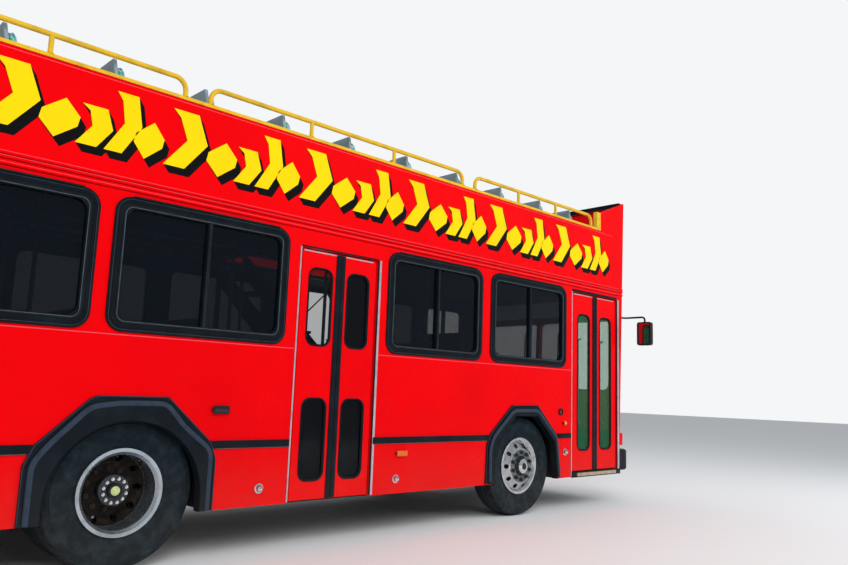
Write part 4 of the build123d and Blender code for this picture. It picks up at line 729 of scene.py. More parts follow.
@dataclass
class Studio:
    """Pale floor, soft lamps and the photographer's camera.

    Args:
        camera_place: Camera position in metres, solved from the photo.
        yaw: Degrees from +Y towards +X.
        pitch: Degrees above the horizon.
        roll: Degrees of roll.
        lens: Focal length in millimetres on a 36 mm wide sensor.
        lamps: Name, position, side of the square and watts of each soft lamp.
    """

    camera_place: tuple[float, float, float] = (REAR_AXLE_X - 2.1548, -HALF_WIDTH - 5.1023, 1.2782)
    yaw: float = 43.8228
    pitch: float = 8.4584
    roll: float = 2.0329
    lens: float = 31.31
    lamps: tuple[tuple[str, tuple[float, float, float], float, float], ...] = (
        ("key_lamp", (-6.0, -12.0, 10.0), 9.0, 1150.0),
        ("fill_lamp", (8.0, -9.0, 6.0), 8.0, 520.0),
        ("back_lamp", (0.0, 12.0, 9.0), 9.0, 700.0),
    )

    def camera(self) -> None:
        """Places the camera at the photo's viewpoint."""
        data = bpy.data.cameras.new("camera")
        data.sensor_width = 36.0
        data.sensor_fit = "HORIZONTAL"
        data.lens = self.lens
        data.clip_end = 200.0
        camera = bpy.data.objects.new("camera", data)
        bpy.context.scene.collection.objects.link(camera)
        bpy.context.scene.camera = camera
        yaw, pitch, roll = (math.radians(angle) for angle in (self.yaw, self.pitch, self.roll))
        flat = math.cos(pitch)
        ahead = Vector((math.sin(yaw) * flat, math.cos(yaw) * flat, math.sin(pitch)))
        level = Vector((math.cos(yaw), -math.sin(yaw), 0.0))
        above = level.cross(ahead)
        right = level * math.cos(roll) + above * math.sin(roll)
        up = above * math.cos(roll) - level * math.sin(roll)
        turn = Matrix((right, up, -ahead)).transposed().to_4x4()
        camera.matrix_world = Matrix.Translation(self.camera_place) @ turn

    def floor(self) -> None:
        """Makes the pale floor and a white surround."""
        mesh = bpy.data.meshes.new("floor")
        shape = bmesh.new()
        bmesh.ops.create_grid(shape, x_segments=1, y_segments=1, size=60.0)
        shape.to_mesh(mesh)
        shape.free()
        floor = bpy.data.objects.new("floor", mesh)
        bpy.context.scene.collection.objects.link(floor)
        made = bpy.data.materials.new("pale_studio_floor")
        made.use_nodes = True
        looks = {"Base Color": linear("#F0F1F2"), "Roughness": 0.7}
        feed(made.node_tree, made.node_tree.nodes["Principled BSDF"], looks)
        mesh.materials.append(made)

    def world(self) -> None:
        """White surround for the camera, softer light for the surfaces."""
        world = bpy.data.worlds.new("studio")
        bpy.context.scene.world = world
        world.use_nodes = True
        tree = world.node_tree
        tree.nodes.clear()
        rays = add_node(tree, "ShaderNodeLightPath").outputs
        seen = maths(tree, "MAXIMUM", rays["Is Camera Ray"], rays["Is Transmission Ray"])
        light = add_node(tree, "ShaderNodeBackground", {"Color": linear("#F2F6FA"), "Strength": 0.5})
        white = add_node(tree, "ShaderNodeBackground", {"Color": linear("#F4F6F7"), "Strength": 1.0})
        shares = {0: seen, 1: light.outputs[0], 2: white.outputs[0]}
        mix = add_node(tree, "ShaderNodeMixShader", shares)
        add_node(tree, "ShaderNodeOutputWorld", {"Surface": mix.outputs[0]})

    def lamp(self, name: str, place: Sequence[float], size: float, watts: float) -> None:
        """Adds a square soft lamp that faces the middle of the bus.

        Args:
            name: The lamp's name.
            place: Its position in metres.
            size: Side of the square in metres.
            watts: Its power.
        """
        data = bpy.data.lights.new(name, "AREA")
        data.size = size
        data.energy = watts
        lamp = bpy.data.objects.new(name, data)
        bpy.context.scene.collection.objects.link(lamp)
        lamp.location = place
        lamp.visible_glossy = False
        lamp.rotation_mode = "QUATERNION"
        lamp.rotation_quaternion = (Vector((0, 0, 1.5)) - Vector(place)).to_track_quat("-Z", "Y")

    def build(self) -> None:
        """Makes the whole studio."""
        self.camera()
        self.floor()
        self.world()
        for name, place, size, watts in self.lamps:
            self.lamp(name, place, size, watts)
        bpy.context.scene.view_settings.view_transform = "Standard"


Form = bmesh.types.BMesh
Points = Sequence[Sequence[float]]
Outline = Sequence[tuple[float, float]]


def box_form(low: Sequence[float], high: Sequence[float], bevel: float = 0.0, segments: int = 2) -> Form:
    """A box between two corners with rounded edges.

    Args:
        low: The lowest corner.
        high: The highest corner.
        bevel: Width of the rounding.
        segments: Steps of the rounding.

    Returns:
        The form.
    """
    form = bmesh.new()
    bmesh.ops.create_cube(form, size=1.0)
    bmesh.ops.scale(form, vec=Vector(high) - Vector(low), verts=form.verts)
    bmesh.ops.translate(form, vec=(Vector(high) + Vector(low)) / 2, verts=form.verts)
    if bevel:
        soften(form, form.edges[:], bevel, segments)
    return form


def soften(form: Form, edges: list[bmesh.types.BMEdge], width: float, segments: int = 2) -> None:
    """Rounds edges of a form.

    Args:
        form: The form.
        edges: Its edges to round.
        width: Width of the rounding.
        segments: Steps of the rounding.
    """
    bmesh.ops.bevel(
        form, geom=edges, offset=width, offset_type="OFFSET", affect="EDGES",
        segments=segments, profile=0.5, material=-1, clamp_overlap=True,
    )


def rod_form(start: Sequence[float], end: Sequence[float], radius: float, steps: int = 16) -> Form:
    """A straight round rod with flat ends.

    Args:
        start: Centre of the first end.
        end: Centre of the other end.
        radius: Radius of the rod.
        steps: Sides of the rod.

    Returns:
        The form.
    """
    form = bmesh.new()
    reach = Vector(end) - Vector(start)
    bmesh.ops.create_cone(
        form, cap_ends=True, segments=steps, radius1=radius, radius2=radius, depth=reach.length
    )
    turn = reach.to_track_quat("Z", "Y").to_matrix().to_4x4()
    middle = Matrix.Translation((Vector(start) + Vector(end)) / 2)
    bmesh.ops.transform(form, matrix=middle @ turn, verts=form.verts)
    return form


def turned_form(profile: Points, steps: int = 32, closed: bool = False) -> Form:
    """A profile of (radius, height) turned about local Z.

    Args:
        profile: The points of the profile in order.
        steps: Steps of a full turn.
        closed: Whether the last point joins the first.

    Returns:
        The form.
    """
    form = bmesh.new()
    corners = [form.verts.new((radius, 0, height)) for radius, height in profile]
    follow = corners[1:] + (corners[:1] if closed else [])
    edges = [form.edges.new(pair) for pair in zip(corners, follow)]
    bmesh.ops.spin(
        form, geom=corners + edges, cent=(0, 0, 0), axis=(0, 0, 1), angle=math.tau, steps=steps,
        use_merge=True,
    )
    bmesh.ops.remove_doubles(form, verts=form.verts, dist=1e-5)
    return form


def outline_form(outline: Points, corner: float = 0.0, steps: int = 5) -> Form:
    """A flat face in the local XY plane with rounded corners.

    Args:
        outline: Corners in the local XY plane.
        corner: Radius of the corners.
        steps: Steps of each corner.

    Returns:
        The form with its one face.
    """
    form = bmesh.new()
    form.faces.new([form.verts.new((x, y, 0)) for x, y in outline])
    if corner:
        bmesh.ops.bevel(
            form, geom=form.verts[:], offset=corner, offset_type="OFFSET", affect="VERTICES",
            segments=steps, profile=0.5, material=-1,
        )
    form.faces.ensure_lookup_table()
    return form


def plate_form(
    outline: Points, depth: float, corner: float = 0.0, bevel: float = 0.0, steps: int = 5
) -> Form:
    """A flat plate whose outline is extruded outward.

    Args:
        outline: Corners in the local XY plane.
        depth: Thickness along local Z.
        corner: Radius of the outline's corners.
        bevel: Rounding of the outer rim.
        steps: Steps of each corner.

    Returns:
        The form.
    """
    form = outline_form(outline, corner, steps)
    made = bmesh.ops.extrude_face_region(form, geom=[form.faces[0]])["geom"]
    top = [item for item in made if isinstance(item, bmesh.types.BMVert)]
    bmesh.ops.translate(form, vec=(0, 0, depth), verts=top)
    if bevel:
        rim = [edge for edge in form.edges if all(vert in top for vert in edge.verts)]
        soften(form, rim, bevel)
    return form


def rim_form(outline: Points, corner: float, section: Points, steps: int = 6) -> Form:
    """A closed moulding round an outline, by stepped insets.

    Args:
        outline: Outer corners in the local XY plane.
        corner: Radius of the outline's corners.
        section: Steps of (inset, rise) across the moulding.
        steps: Steps of each corner.

    Returns:
        The form.
    """
    form = outline_form(outline, corner, steps)
    face = form.faces[0]
    outer = face.edges[:]
    for inset, rise in section:
        bmesh.ops.inset_region(
            form, faces=[face], thickness=inset, depth=rise, use_even_offset=True, use_boundary=True
        )
    inner = face.edges[:]
    bmesh.ops.delete(form, geom=[face], context="FACES_ONLY")
    bmesh.ops.bridge_loops(form, edges=outer + inner)
    return form


def tube_form(route: Points, radius: float, closed: bool = False, resolution: int = 3) -> Form:
    """A round tube along a route of points.

    Args:
        route: Points in order.
        radius: Radius of the tube.
        closed: Whether the last point joins the first.
        resolution: Steps of a quarter of the section.

    Returns:
        The form.
    """
    curve = bpy.data.curves.new("route", "CURVE")
    curve.dimensions = "3D"
    curve.bevel_depth = radius
    curve.bevel_resolution = resolution
    curve.use_fill_caps = True
    spline = curve.splines.new("POLY")
    spline.points.add(len(route) - 1)
    for point, place in zip(spline.points, route):
        point.co = (*place, 1.0)
    spline.use_cyclic_u = closed
    holder = bpy.data.objects.new("route", curve)
    mesh = bpy.data.meshes.new_from_object(holder)
    form = bmesh.new()
    form.from_mesh(mesh)
    bpy.data.objects.remove(holder)
    bpy.data.curves.remove(curve)
    bpy.data.meshes.remove(mesh)
    return form


def strip_form(route: Points, reach: Sequence[float], thick: float) -> Form:
    """A thin strip that follows a route, with one width and one thickness.

    Args:
        route: Points in order.
        reach: The width as a vector.
        thick: Thickness, to the side of the route's normals.

    Returns:
        The form.
    """
    form = bmesh.new()
    corners = [form.verts.new(point) for point in route]
    edges = [form.edges.new(pair) for pair in zip(corners, corners[1:])]
    made = bmesh.ops.extrude_edge_only(form, edges=edges)["geom"]
    moved = [item for item in made if isinstance(item, bmesh.types.BMVert)]
    bmesh.ops.translate(form, vec=reach, verts=moved)
    bmesh.ops.recalc_face_normals(form, faces=form.faces)
    bmesh.ops.solidify(form, geom=form.faces[:] + form.edges[:] + form.verts[:], thickness=thick)
    return form


def bent(route: Points, radius: float, steps: int = 5) -> list[Vector]:
    """Rounds the inner corners of a route of straight runs.

    Args:
        route: Corner points in order.
        radius: Length cut from each run at a corner.
        steps: Points of each bend.

    Returns:
        The points of the rounded route.
    """
    corners = [Vector(point) for point in route]
    points = [corners[0]]
    for before, corner, after in zip(corners, corners[1:], corners[2:]):
        start = corner + (before - corner).normalized() * radius
        end = corner + (after - corner).normalized() * radius
        for step in range(steps + 1):
            share = step / steps
            points.append(start.lerp(corner, share).lerp(corner.lerp(end, share), share))
    return points + [corners[-1]]


def box_outline(x0: float, x1: float, y0: float, y1: float) -> Outline:
    """Four corners of a rectangle, anticlockwise."""
    return ((x0, y0), (x1, y0), (x1, y1), (x0, y1))


class Piece:
    """One visible mesh, gathered from small forms, that rides on a body."""

    def __init__(self, name: str, finish: Surface, body: str = BODY, sharp: float = 35.0) -> None:
        """Starts an empty piece.

        Args:
            name: The piece's name.
            finish: Its finish.
            body: The body that it rides on.
            sharp: Degrees past which an edge is left sharp.
        """
        self.name = name
        self.finish = finish
        self.body = body
        self.sharp = sharp
        self.whole = bmesh.new()

    def add(self, form: Form, place: Matrix | None = None) -> None:
        """Moves a form to its place and into the piece.

        Args:
            form: The form, which is freed.
            place: Matrix to its place, or None where it stands.
        """
        if place is not None:
            bmesh.ops.transform(form, matrix=place, verts=form.verts)
        bmesh.ops.recalc_face_normals(form, faces=form.faces)
        carrier = bpy.data.meshes.new("carrier")
        form.to_mesh(carrier)
        form.free()
        self.whole.from_mesh(carrier)
        bpy.data.meshes.remove(carrier)

    def build(self, replaces: Sequence[str] = ()) -> bpy.types.Object:
        """Makes the object, dresses it and lets it ride.

        Args:
            replaces: Frame nodes that it stands for.

        Returns:
            The finished object.
        """
        mesh = bpy.data.meshes.new(self.name)
        self.whole.to_mesh(mesh)
        self.whole.free()
        mesh.shade_smooth()
        mesh.set_sharp_from_angle(angle=math.radians(self.sharp))
        mesh.materials.append(self.finish.material())
        piece = bpy.data.objects.new(self.name, mesh)
        bpy.context.scene.collection.objects.link(piece)
        if replaces:
            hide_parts(*replaces)
        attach(piece, self.body)
        self.finish.slot
        LOG.info("%s: %d faces", self.name, len(mesh.polygons))
        return piece


@dataclass
class Frieze:
    """Yellow ornament with a black block shadow on the upper side panels.

    A run of slanted arrowheads and lozenges, tall and low by turns.

    Args:
        foot: Height of the ornament's foot.
        tall: Height of the large motifs.
        low: Height of the small motifs.
        rear: Rear end, ahead of the rear axle.
        repeat: Length of one repeat.
        repeats: Number of repeats.
        slant: Forward slant per unit of height.
        shadow: How far the shadow falls ahead and down.
        film: Thickness of one film.
        layers: Films that fill the block shadow.
    """

    foot: float = 2.862
    tall: float = 0.440
    low: float = 0.285
    rear: float = -2.330
    repeat: float = 1.192
    repeats: int = 7
    slant: float = 0.20
    shadow: tuple[float, float] = (0.044, -0.056)
    film: float = 0.0005
    layers: int = 7

    def arrowhead(self, x: float, height: float, stroke: float, reach: float) -> Outline:
        """Outline of an arrowhead that points ahead, with spurred tails.

        Args:
            x: Its rear end.
            height: Its height.
            stroke: Width of its stroke.
            reach: How far its tip lies ahead.

        Returns:
            The outline.
        """
        spur = 0.22 * stroke
        return [
            (x, 0.0), (x + stroke, 0.0), (x + stroke + reach, height / 2), (x + stroke, height),
            (x - spur, height), (x + spur, height * 0.86), (x + reach, height / 2),
        ]

    def lozenge(self, x: float, foot: float, width: float, height: float) -> Outline:
        """Outline of a lozenge with clipped side corners.

        Args:
            x: Its rear end.
            foot: Its lowest point.
            width: Its width.
            height: Its height.

        Returns:
            The outline.
        """
        middle, clip = foot + height / 2, 0.12 * height
        return [
            (x, middle - clip), (x + width / 2, foot), (x + width, middle - clip),
            (x + width, middle + clip), (x + width / 2, foot + height), (x, middle + clip),
        ]

    def motifs(self) -> Iterable[Outline]:
        """Outlines of all motifs, slanted and in place along the panel.

        Returns:
            Each outline in turn.
        """
        for count in range(self.repeats):
            x = self.rear + count * self.repeat
            shapes = [
                self.arrowhead(x, self.tall, 0.165, 0.130),
                self.lozenge(x + 0.315, 0.0, 0.245, self.low),
                self.arrowhead(x + 0.575, self.low, 0.140, 0.075),
                self.arrowhead(x + 0.765, self.tall, 0.125, 0.085),
                self.lozenge(x + 0.945, 0.0, 0.210, self.low),
            ]
            for shape in shapes:
                yield [(along(px + self.slant * py), self.foot + py) for px, py in shape]

    def build(self) -> None:
        """Makes the yellow films and the block shadows on both sides."""
        for side_name, side in SIDES:
            yellow = Piece(f"frieze_yellow_{side_name}", YELLOW_FILM)
            black = Piece(f"frieze_shadow_{side_name}", BLACK_FILM_AND_PANE_SHADE)
            for outline in self.motifs():
                for layer in range(self.layers):
                    share = 1 - layer / self.layers
                    ahead, down = (reach * share for reach in self.shadow)
                    drop = [(x + ahead, z + down) for x, z in outline]
                    black.add(plate_form(drop, self.film), side_place(side, layer * self.film))
                yellow.add(plate_form(outline, 2 * self.film), side_place(side, self.layers * self.film))
            yellow.build()
            black.build()


@dataclass
class PanelTrim:
    """Seams, beads, domes, markers and other small things on the side walls.

    Args:
        seam_z: Height of the seam between the window panel and the lower panel.
        seam_radius: Half the width of a seam bead.
        seams: Ends of the seam runs of each side, ahead of the rear axle.
        coping_seam: Ends of the thinner seam under the coping.
        coping_seam_z: Its height.
        domes: Places of the chrome domes, ahead of the rear axle and up.
        dome_radius: Radius of a dome.
        ridges: Heights of the cornice ridges.
        ridge_run: Ends of the ridges, ahead of the rear axle.
        rails: Ends of the rub rails of each side, ahead of the rear axle.
        fillers: Ends of the fillers between the rails and the arch trims.
        rail_z: Foot and head of the rub rails.
        marker: Middle of the side markers, ahead of the rear axle and up.
        reflector: Rear and front end, foot and head of the side reflectors.
        side_lamp: Place of the red side lamps, ahead of the rear axle and up.
        step_lamp: Place of the small lamps by the front door.
        skirt_out: How far the skirt stands out of the wall.
    """

    seam_z: float = 1.596
    seam_radius: float = 0.0035
    seams: dict[str, Outline] = field(default_factory=lambda: {
        "right": ((-2.690, 1.290), (2.175, 5.210)), "left": ((-2.690, 6.200),),
    })
    coping_seam: tuple[float, float] = (-2.690, 6.110)
    coping_seam_z: float = 3.372
    domes: tuple[tuple[float, float], ...] = ((1.044, 0.496), (2.468, 0.493), (5.088, 0.655))
    dome_radius: float = 0.029
    ridges: tuple[float, ...] = (2.618, 2.660, 2.688)
    ridge_run: tuple[float, float] = (-2.690, 6.255)
    rails: dict[str, Outline] = field(default_factory=lambda: {
        "right": ((-2.680, -0.654), (0.650, 1.290), (2.175, 3.715)),
        "left": ((-2.680, -0.654), (0.650, 3.715), (4.940, 6.240)),
    })
    fillers: dict[str, Outline] = field(default_factory=lambda: {
        "right": ((-0.655, -0.618), (0.606, 0.651), (3.714, 3.752), (4.936, 5.200)),
        "left": ((-0.655, -0.618), (0.606, 0.651), (3.714, 3.752), (4.906, 4.941)),
    })
    rail_z: tuple[float, float] = (0.812, 0.867)
    marker: tuple[float, float] = (0.668, 1.095)
    reflector: tuple[float, float, float, float] = (2.463, 2.589, 0.692, 0.742)
    side_lamp: tuple[float, float] = (4.998, 1.110)
    step_lamp: tuple[float, float] = (5.071, 0.982)
    skirt_out: float = 0.018

    def build(self) -> None:
        """Makes the trim of both sides."""
        self.beads()
        self.cornice_lines()
        self.rail_ends()
        self.dome_buttons()
        self.markers()

    def cornice_lines(self) -> None:
        """Painted shade lines in the grooves under the cornice ridges, with a painted highlight line along
        the top of each.
        """
        groove_shade = Piece("cornice_dirt_lines", PAINTED_GROOVE_SHADE)
        ridge_highlight = Piece("cornice_polish_lines", PAINTED_PINK_HIGHLIGHT)
        rear, front = (along(end) for end in self.ridge_run)
        for _, side in SIDES:
            place = side_place(side)
            for z in self.ridges:
                # painted shade: a dark red strip in the groove under each ridge
                groove_shade.add(box_form((rear, z - 0.0155, 0.0), (front, z - 0.0115, 0.003), 0.0005), place)
                # painted highlight: a pale pink strip along the top of each ridge
                ridge_highlight.add(box_form((rear, z + 0.006, 0.009), (front, z + 0.009, 0.0105), 0.0005), place)
        groove_shade.build()
        ridge_highlight.build()

    def beads(self) -> None:
        """Seam beads between the panels, coloured pale pink as a painted highlight."""
        for side_name, side in SIDES:
            piece = Piece(f"panel_seams_{side_name}", PAINTED_PINK_HIGHLIGHT)
            runs = [(run, self.seam_z, self.seam_radius) for run in self.seams[side_name]]
            runs.append((self.coping_seam, self.coping_seam_z, self.seam_radius * 0.7))
            for (rear, front), z, radius in runs:
                route = [(along(rear), z, 0.0), (along(front), z, 0.0)]
                # the bead's pale pink colour is a painted highlight
                piece.add(tube_form(route, radius), side_place(side))
            piece.build()

    def rail_ends(self) -> None:
        """Short fillers between the rub rails and the arch trims, and a pale line of painted highlight along
        the rails' foot.
        """
        filler = Piece("rub_rail_ends", RUBBER)
        bright = Piece("rub_rail_feet", PAINTED_EDGE_HIGHLIGHT)
        foot, head = self.rail_z
        for side_name, side in SIDES:
            place = side_place(side)
            for x0, x1 in self.fillers[side_name]:
                filler.add(box_form((along(x0), foot, 0.0), (along(x1), head, 0.0135), 0.003), place)
            for x0, x1 in self.rails[side_name]:
                # painted highlight: a pale line under each rub rail
                low, high = (along(x0), foot - 0.006, 0.0), (along(x1), foot - 0.001, 0.010)
                bright.add(box_form(low, high, 0.001), place)
        filler.build()
        bright.build()

    def dome_buttons(self) -> None:
        """Chrome domes with a flat washer, low on the skirt."""
        radius = self.dome_radius
        profile = [(0.0, 0.042), (0.010, 0.040), (0.019, 0.034), (0.026, 0.023), (radius - 0.001, 0.006)]
        profile += [(radius + 0.009, 0.005), (radius + 0.011, 0.0), (0.0, 0.0)]
        piece = Piece("skirt_domes", CHROME)
        for _, side in SIDES:
            for x, z in self.domes:
                piece.add(turned_form(profile, 28), side_place(side) @ Matrix.Translation((along(x), z, 0)))
        piece.build()

    def markers(self) -> None:
        """Side markers, reflectors and the small round lamps by the front door."""
        black = Piece("marker_bezels", BLACK_PLASTIC)
        amber = Piece("side_reflectors", AMBER_LENS)
        red = Piece("side_red_lamps", RED_LENS)
        white = Piece("side_white_lamps", WHITE_LENS)
        dark = Piece("side_marker_lenses", SMOKED_LENS)
        for _, side in SIDES:
            skirt = side_place(side, self.skirt_out)
            x, z = along(self.marker[0]), self.marker[1]
            outline = box_outline(x - 0.068, x + 0.068, z - 0.031, z + 0.031)
            black.add(plate_form(outline, 0.006, 0.010, 0.002), skirt)
            outline = box_outline(x - 0.056, x + 0.056, z - 0.019, z + 0.019)
            dark.add(plate_form(outline, 0.003, 0.008, 0.001), skirt @ Matrix.Translation((0, 0, 0.006)))
            rear, front, foot, head = self.reflector
            outline = box_outline(along(rear), along(front), foot, head)
            amber.add(plate_form(outline, 0.004, 0.006, 0.001), skirt)
            x, z = self.side_lamp
            lamp_place = side_place(side) @ Matrix.Translation((along(x), z, 0))
            ring = [(0.026, 0.004), (0.030, 0.020), (0.038, 0.018), (0.042, 0.0), (0.026, 0.0)]
            black.add(turned_form(ring, 28, closed=True), lamp_place)
            profile = [(0.0, 0.014), (0.018, 0.012), (0.027, 0.008), (0.027, 0.001), (0.0, 0.001)]
            red.add(turned_form(profile, 28), lamp_place)
            x, z = self.step_lamp
            place = skirt @ Matrix.Translation((along(x), z, 0))
            profile = [(0.010, 0.010), (0.016, 0.010), (0.026, 0.004), (0.028, -0.017), (0.010, -0.017)]
            amber.add(turned_form(profile, 24, closed=True), place)
            profile = [(0.0, 0.014), (0.006, 0.013), (0.0105, 0.008), (0.0105, 0.0), (0.0, 0.0)]
            white.add(turned_form(profile, 16), place)
        for piece in (black, amber, red, white, dark):
            piece.build()


@dataclass
class Windows:
    """Rubber gaskets, sash bars, panes and drip rails of the saloon windows.

    Args:
        right: Edges of the right windows, ahead of the rear axle.
        left: Edges of the left windows.
        corner: Radius of a window's corners.
        band: Width of the whole frame band.
        proud: How far the frame node stands out of the wall.
        thick: Thickness of a pane.
        set_in: How far a saloon pane lies in from the skin.
        undivided: Windows with no sash bar.
        slid: The left window whose front pane is slid open behind the rear one.
        clear: The left window beside the driver, with the windscreen's glass.
    """

    right: Outline = (
        (-1.810, -0.350), (-0.251, 1.193), (2.280, 3.603), (3.731, 5.094),
    )
    left: Outline = (
        (-1.810, -0.350), (-0.251, 1.193), (1.292, 2.615), (2.714, 3.632), (3.731, 5.094), (5.193, 6.080),
    )
    corner: float = 0.120
    band: float = 0.085
    proud: float = 0.008
    thick: float = 0.006
    set_in: float = 0.023
    undivided: tuple[float, ...] = (3.731,)
    slid: float = 2.714
    clear: float = 5.193

    def build(self) -> None:
        """Dresses the windows of both sides."""
        tinted = Piece("saloon_panes", SALOON_GLASS)
        clear = Piece("screen_panes", SCREEN_GLASS)
        for side_name, side in SIDES:
            gasket = Piece(f"window_gaskets_{side_name}", RUBBER)
            sash = Piece(f"window_sashes_{side_name}", DARK_ANODISED)
            # thin pale lines of painted highlight along the sash
            edge = Piece(f"window_sash_edges_{side_name}", PAINTED_EDGE_HIGHLIGHT)
            for x0, x1 in self.right if side < 0 else self.left:
                self.gaskets(gasket, side, along(x0), along(x1))
                self.sashes(sash, edge, side, along(x0), along(x1), x0 not in self.undivided)
                beside_driver = side > 0 and x0 == self.clear
                self.pane(clear if beside_driver else tinted, side, x0, x1)
            gasket.build()
            sash.build()
            edge.build()
        self.end_panes(tinted, clear)
        tinted.build(replaces=("window_glass",))
        clear.build()

    def opening(self, x0: float, x1: float, inset: float) -> Outline:
        """Outline of a window, moved inward by an inset."""
        return box_outline(x0 + inset, x1 - inset, WINDOW_FOOT_Z + inset, WINDOW_HEAD_Z - inset)

    def pane(self, piece: Piece, side: int, x0: float, x1: float) -> None:
        """One window's pane, or its rear half doubled where the front half is slid open.

        Args:
            piece: Piece that takes the pane.
            side: One for the left side, minus one for the right.
            x0: Rear edge, ahead of the rear axle.
            x1: Front edge, ahead of the rear axle.
        """
        outline = self.opening(along(x0), along(x1), self.band)
        middle = ((outline[0][0] + outline[1][0]) / 2, 0, 0)
        slid = side > 0 and x0 == self.slid
        for shift in (0.0, 0.010) if slid else (0.0,):
            form = plate_form(outline, self.thick, self.corner - self.band / 2)
            if slid:
                whole = form.faces[:] + form.edges[:] + form.verts[:]
                bmesh.ops.bisect_plane(
                    form, geom=whole, plane_co=middle, plane_no=(1, 0, 0), clear_outer=True
                )
                bmesh.ops.holes_fill(form, edges=form.edges[:])
            piece.add(form, side_place(side, -self.set_in - shift))

    def end_panes(self, tinted: Piece, clear: Piece) -> None:
        """Panes of the windscreen, the sign and the rear window, half way through their walls.

        Args:
            tinted: Piece of the tinted panes.
            clear: Piece of the clear panes.
        """
        place, lift = front_place(-0.030), 0.001
        half, foot, head = WINDSCREEN
        for low, high in ((-half, -SCREEN_POST / 2), (SCREEN_POST / 2, half)):
            outline = box_outline(low, high, foot + lift, head + lift)
            clear.add(plate_form(outline, self.thick, SCREEN_CORNER), place)
        half, foot, head = SIGN
        outline = box_outline(-half, half, foot + 2 * lift, head + 2 * lift)
        tinted.add(plate_form(outline, self.thick, SIGN_CORNER), place)
        half, foot, head = REAR_WINDOW
        rear = plate_form(box_outline(-half, half, foot, head), self.thick, REAR_CORNER)
        tinted.add(rear, rear_place(-0.030 - self.thick))

    def gaskets(self, piece: Piece, side: int, x0: float, x1: float) -> None:
        """Outer lip and middle bead of one window's rubber.

        Args:
            piece: Piece that takes the rubber.
            side: One for the left side, minus one for the right.
            x0: X of the window's rear edge.
            x1: X of the window's front edge.
        """
        lip = [(0.003, 0.005), (0.006, 0.002), (0.007, -0.001), (0.004, -0.006)]
        bead = [(0.004, 0.004), (0.006, 0.001), (0.004, -0.005)]
        for inset, section in ((0.0, lip), (0.030, bead)):
            form = rim_form(self.opening(x0, x1, inset), self.corner - inset, section, 8)
            piece.add(form, side_place(side, self.proud))

    def sashes(self, piece: Piece, edge: Piece, side: int, x0: float, x1: float, divided: bool) -> None:
        """Slim metal frame round the panes, its middle bar and the drip rail over the window.

        Args:
            piece: Piece that takes the dark metal.
            edge: Piece that takes the thin lines of painted highlight.
            side: One for the left side, minus one for the right.
            x0: X of the window's rear edge.
            x1: X of the window's front edge.
            divided: Whether the window has a middle bar.
        """
        place = side_place(side, self.proud)
        metal = [(0.002, 0.005), (0.005, 0.0), (0.002, -0.003), (0.008, 0.0), (0.003, 0.003), (0.003, -0.005)]
        inner = [(0.001, 0.006), (0.004, 0.0), (0.001, -0.002)]
        outer = [(0.0005, 0.0045), (0.002, 0.0), (0.0005, -0.004)]
        # the two edge rings are lines of painted highlight
        for into, inset, corner, section in (
            (piece, 0.060, 0.070, metal),
            (edge, 0.071, 0.060, inner),
            (edge, 0.016, self.corner - 0.016, outer),
        ):
            into.add(rim_form(self.opening(x0, x1, inset), corner, section, 8), place)
        foot = WINDOW_FOOT_Z + self.band - 0.004
        head = WINDOW_HEAD_Z - self.band + 0.004
        if divided:
            middle = (x0 + x1) / 2
            for low, high, rise in ((-0.014, -0.002, 0.010), (-0.001, 0.014, 0.005)):
                piece.add(box_form((middle + low, foot, 0), (middle + high, head, rise), 0.0025), place)
        low = (x0 + self.corner, WINDOW_HEAD_Z - 0.006, 0)
        high = (x1 - self.corner, WINDOW_HEAD_Z + 0.006, 0.016)
        piece.add(box_form(low, high, 0.003), place)


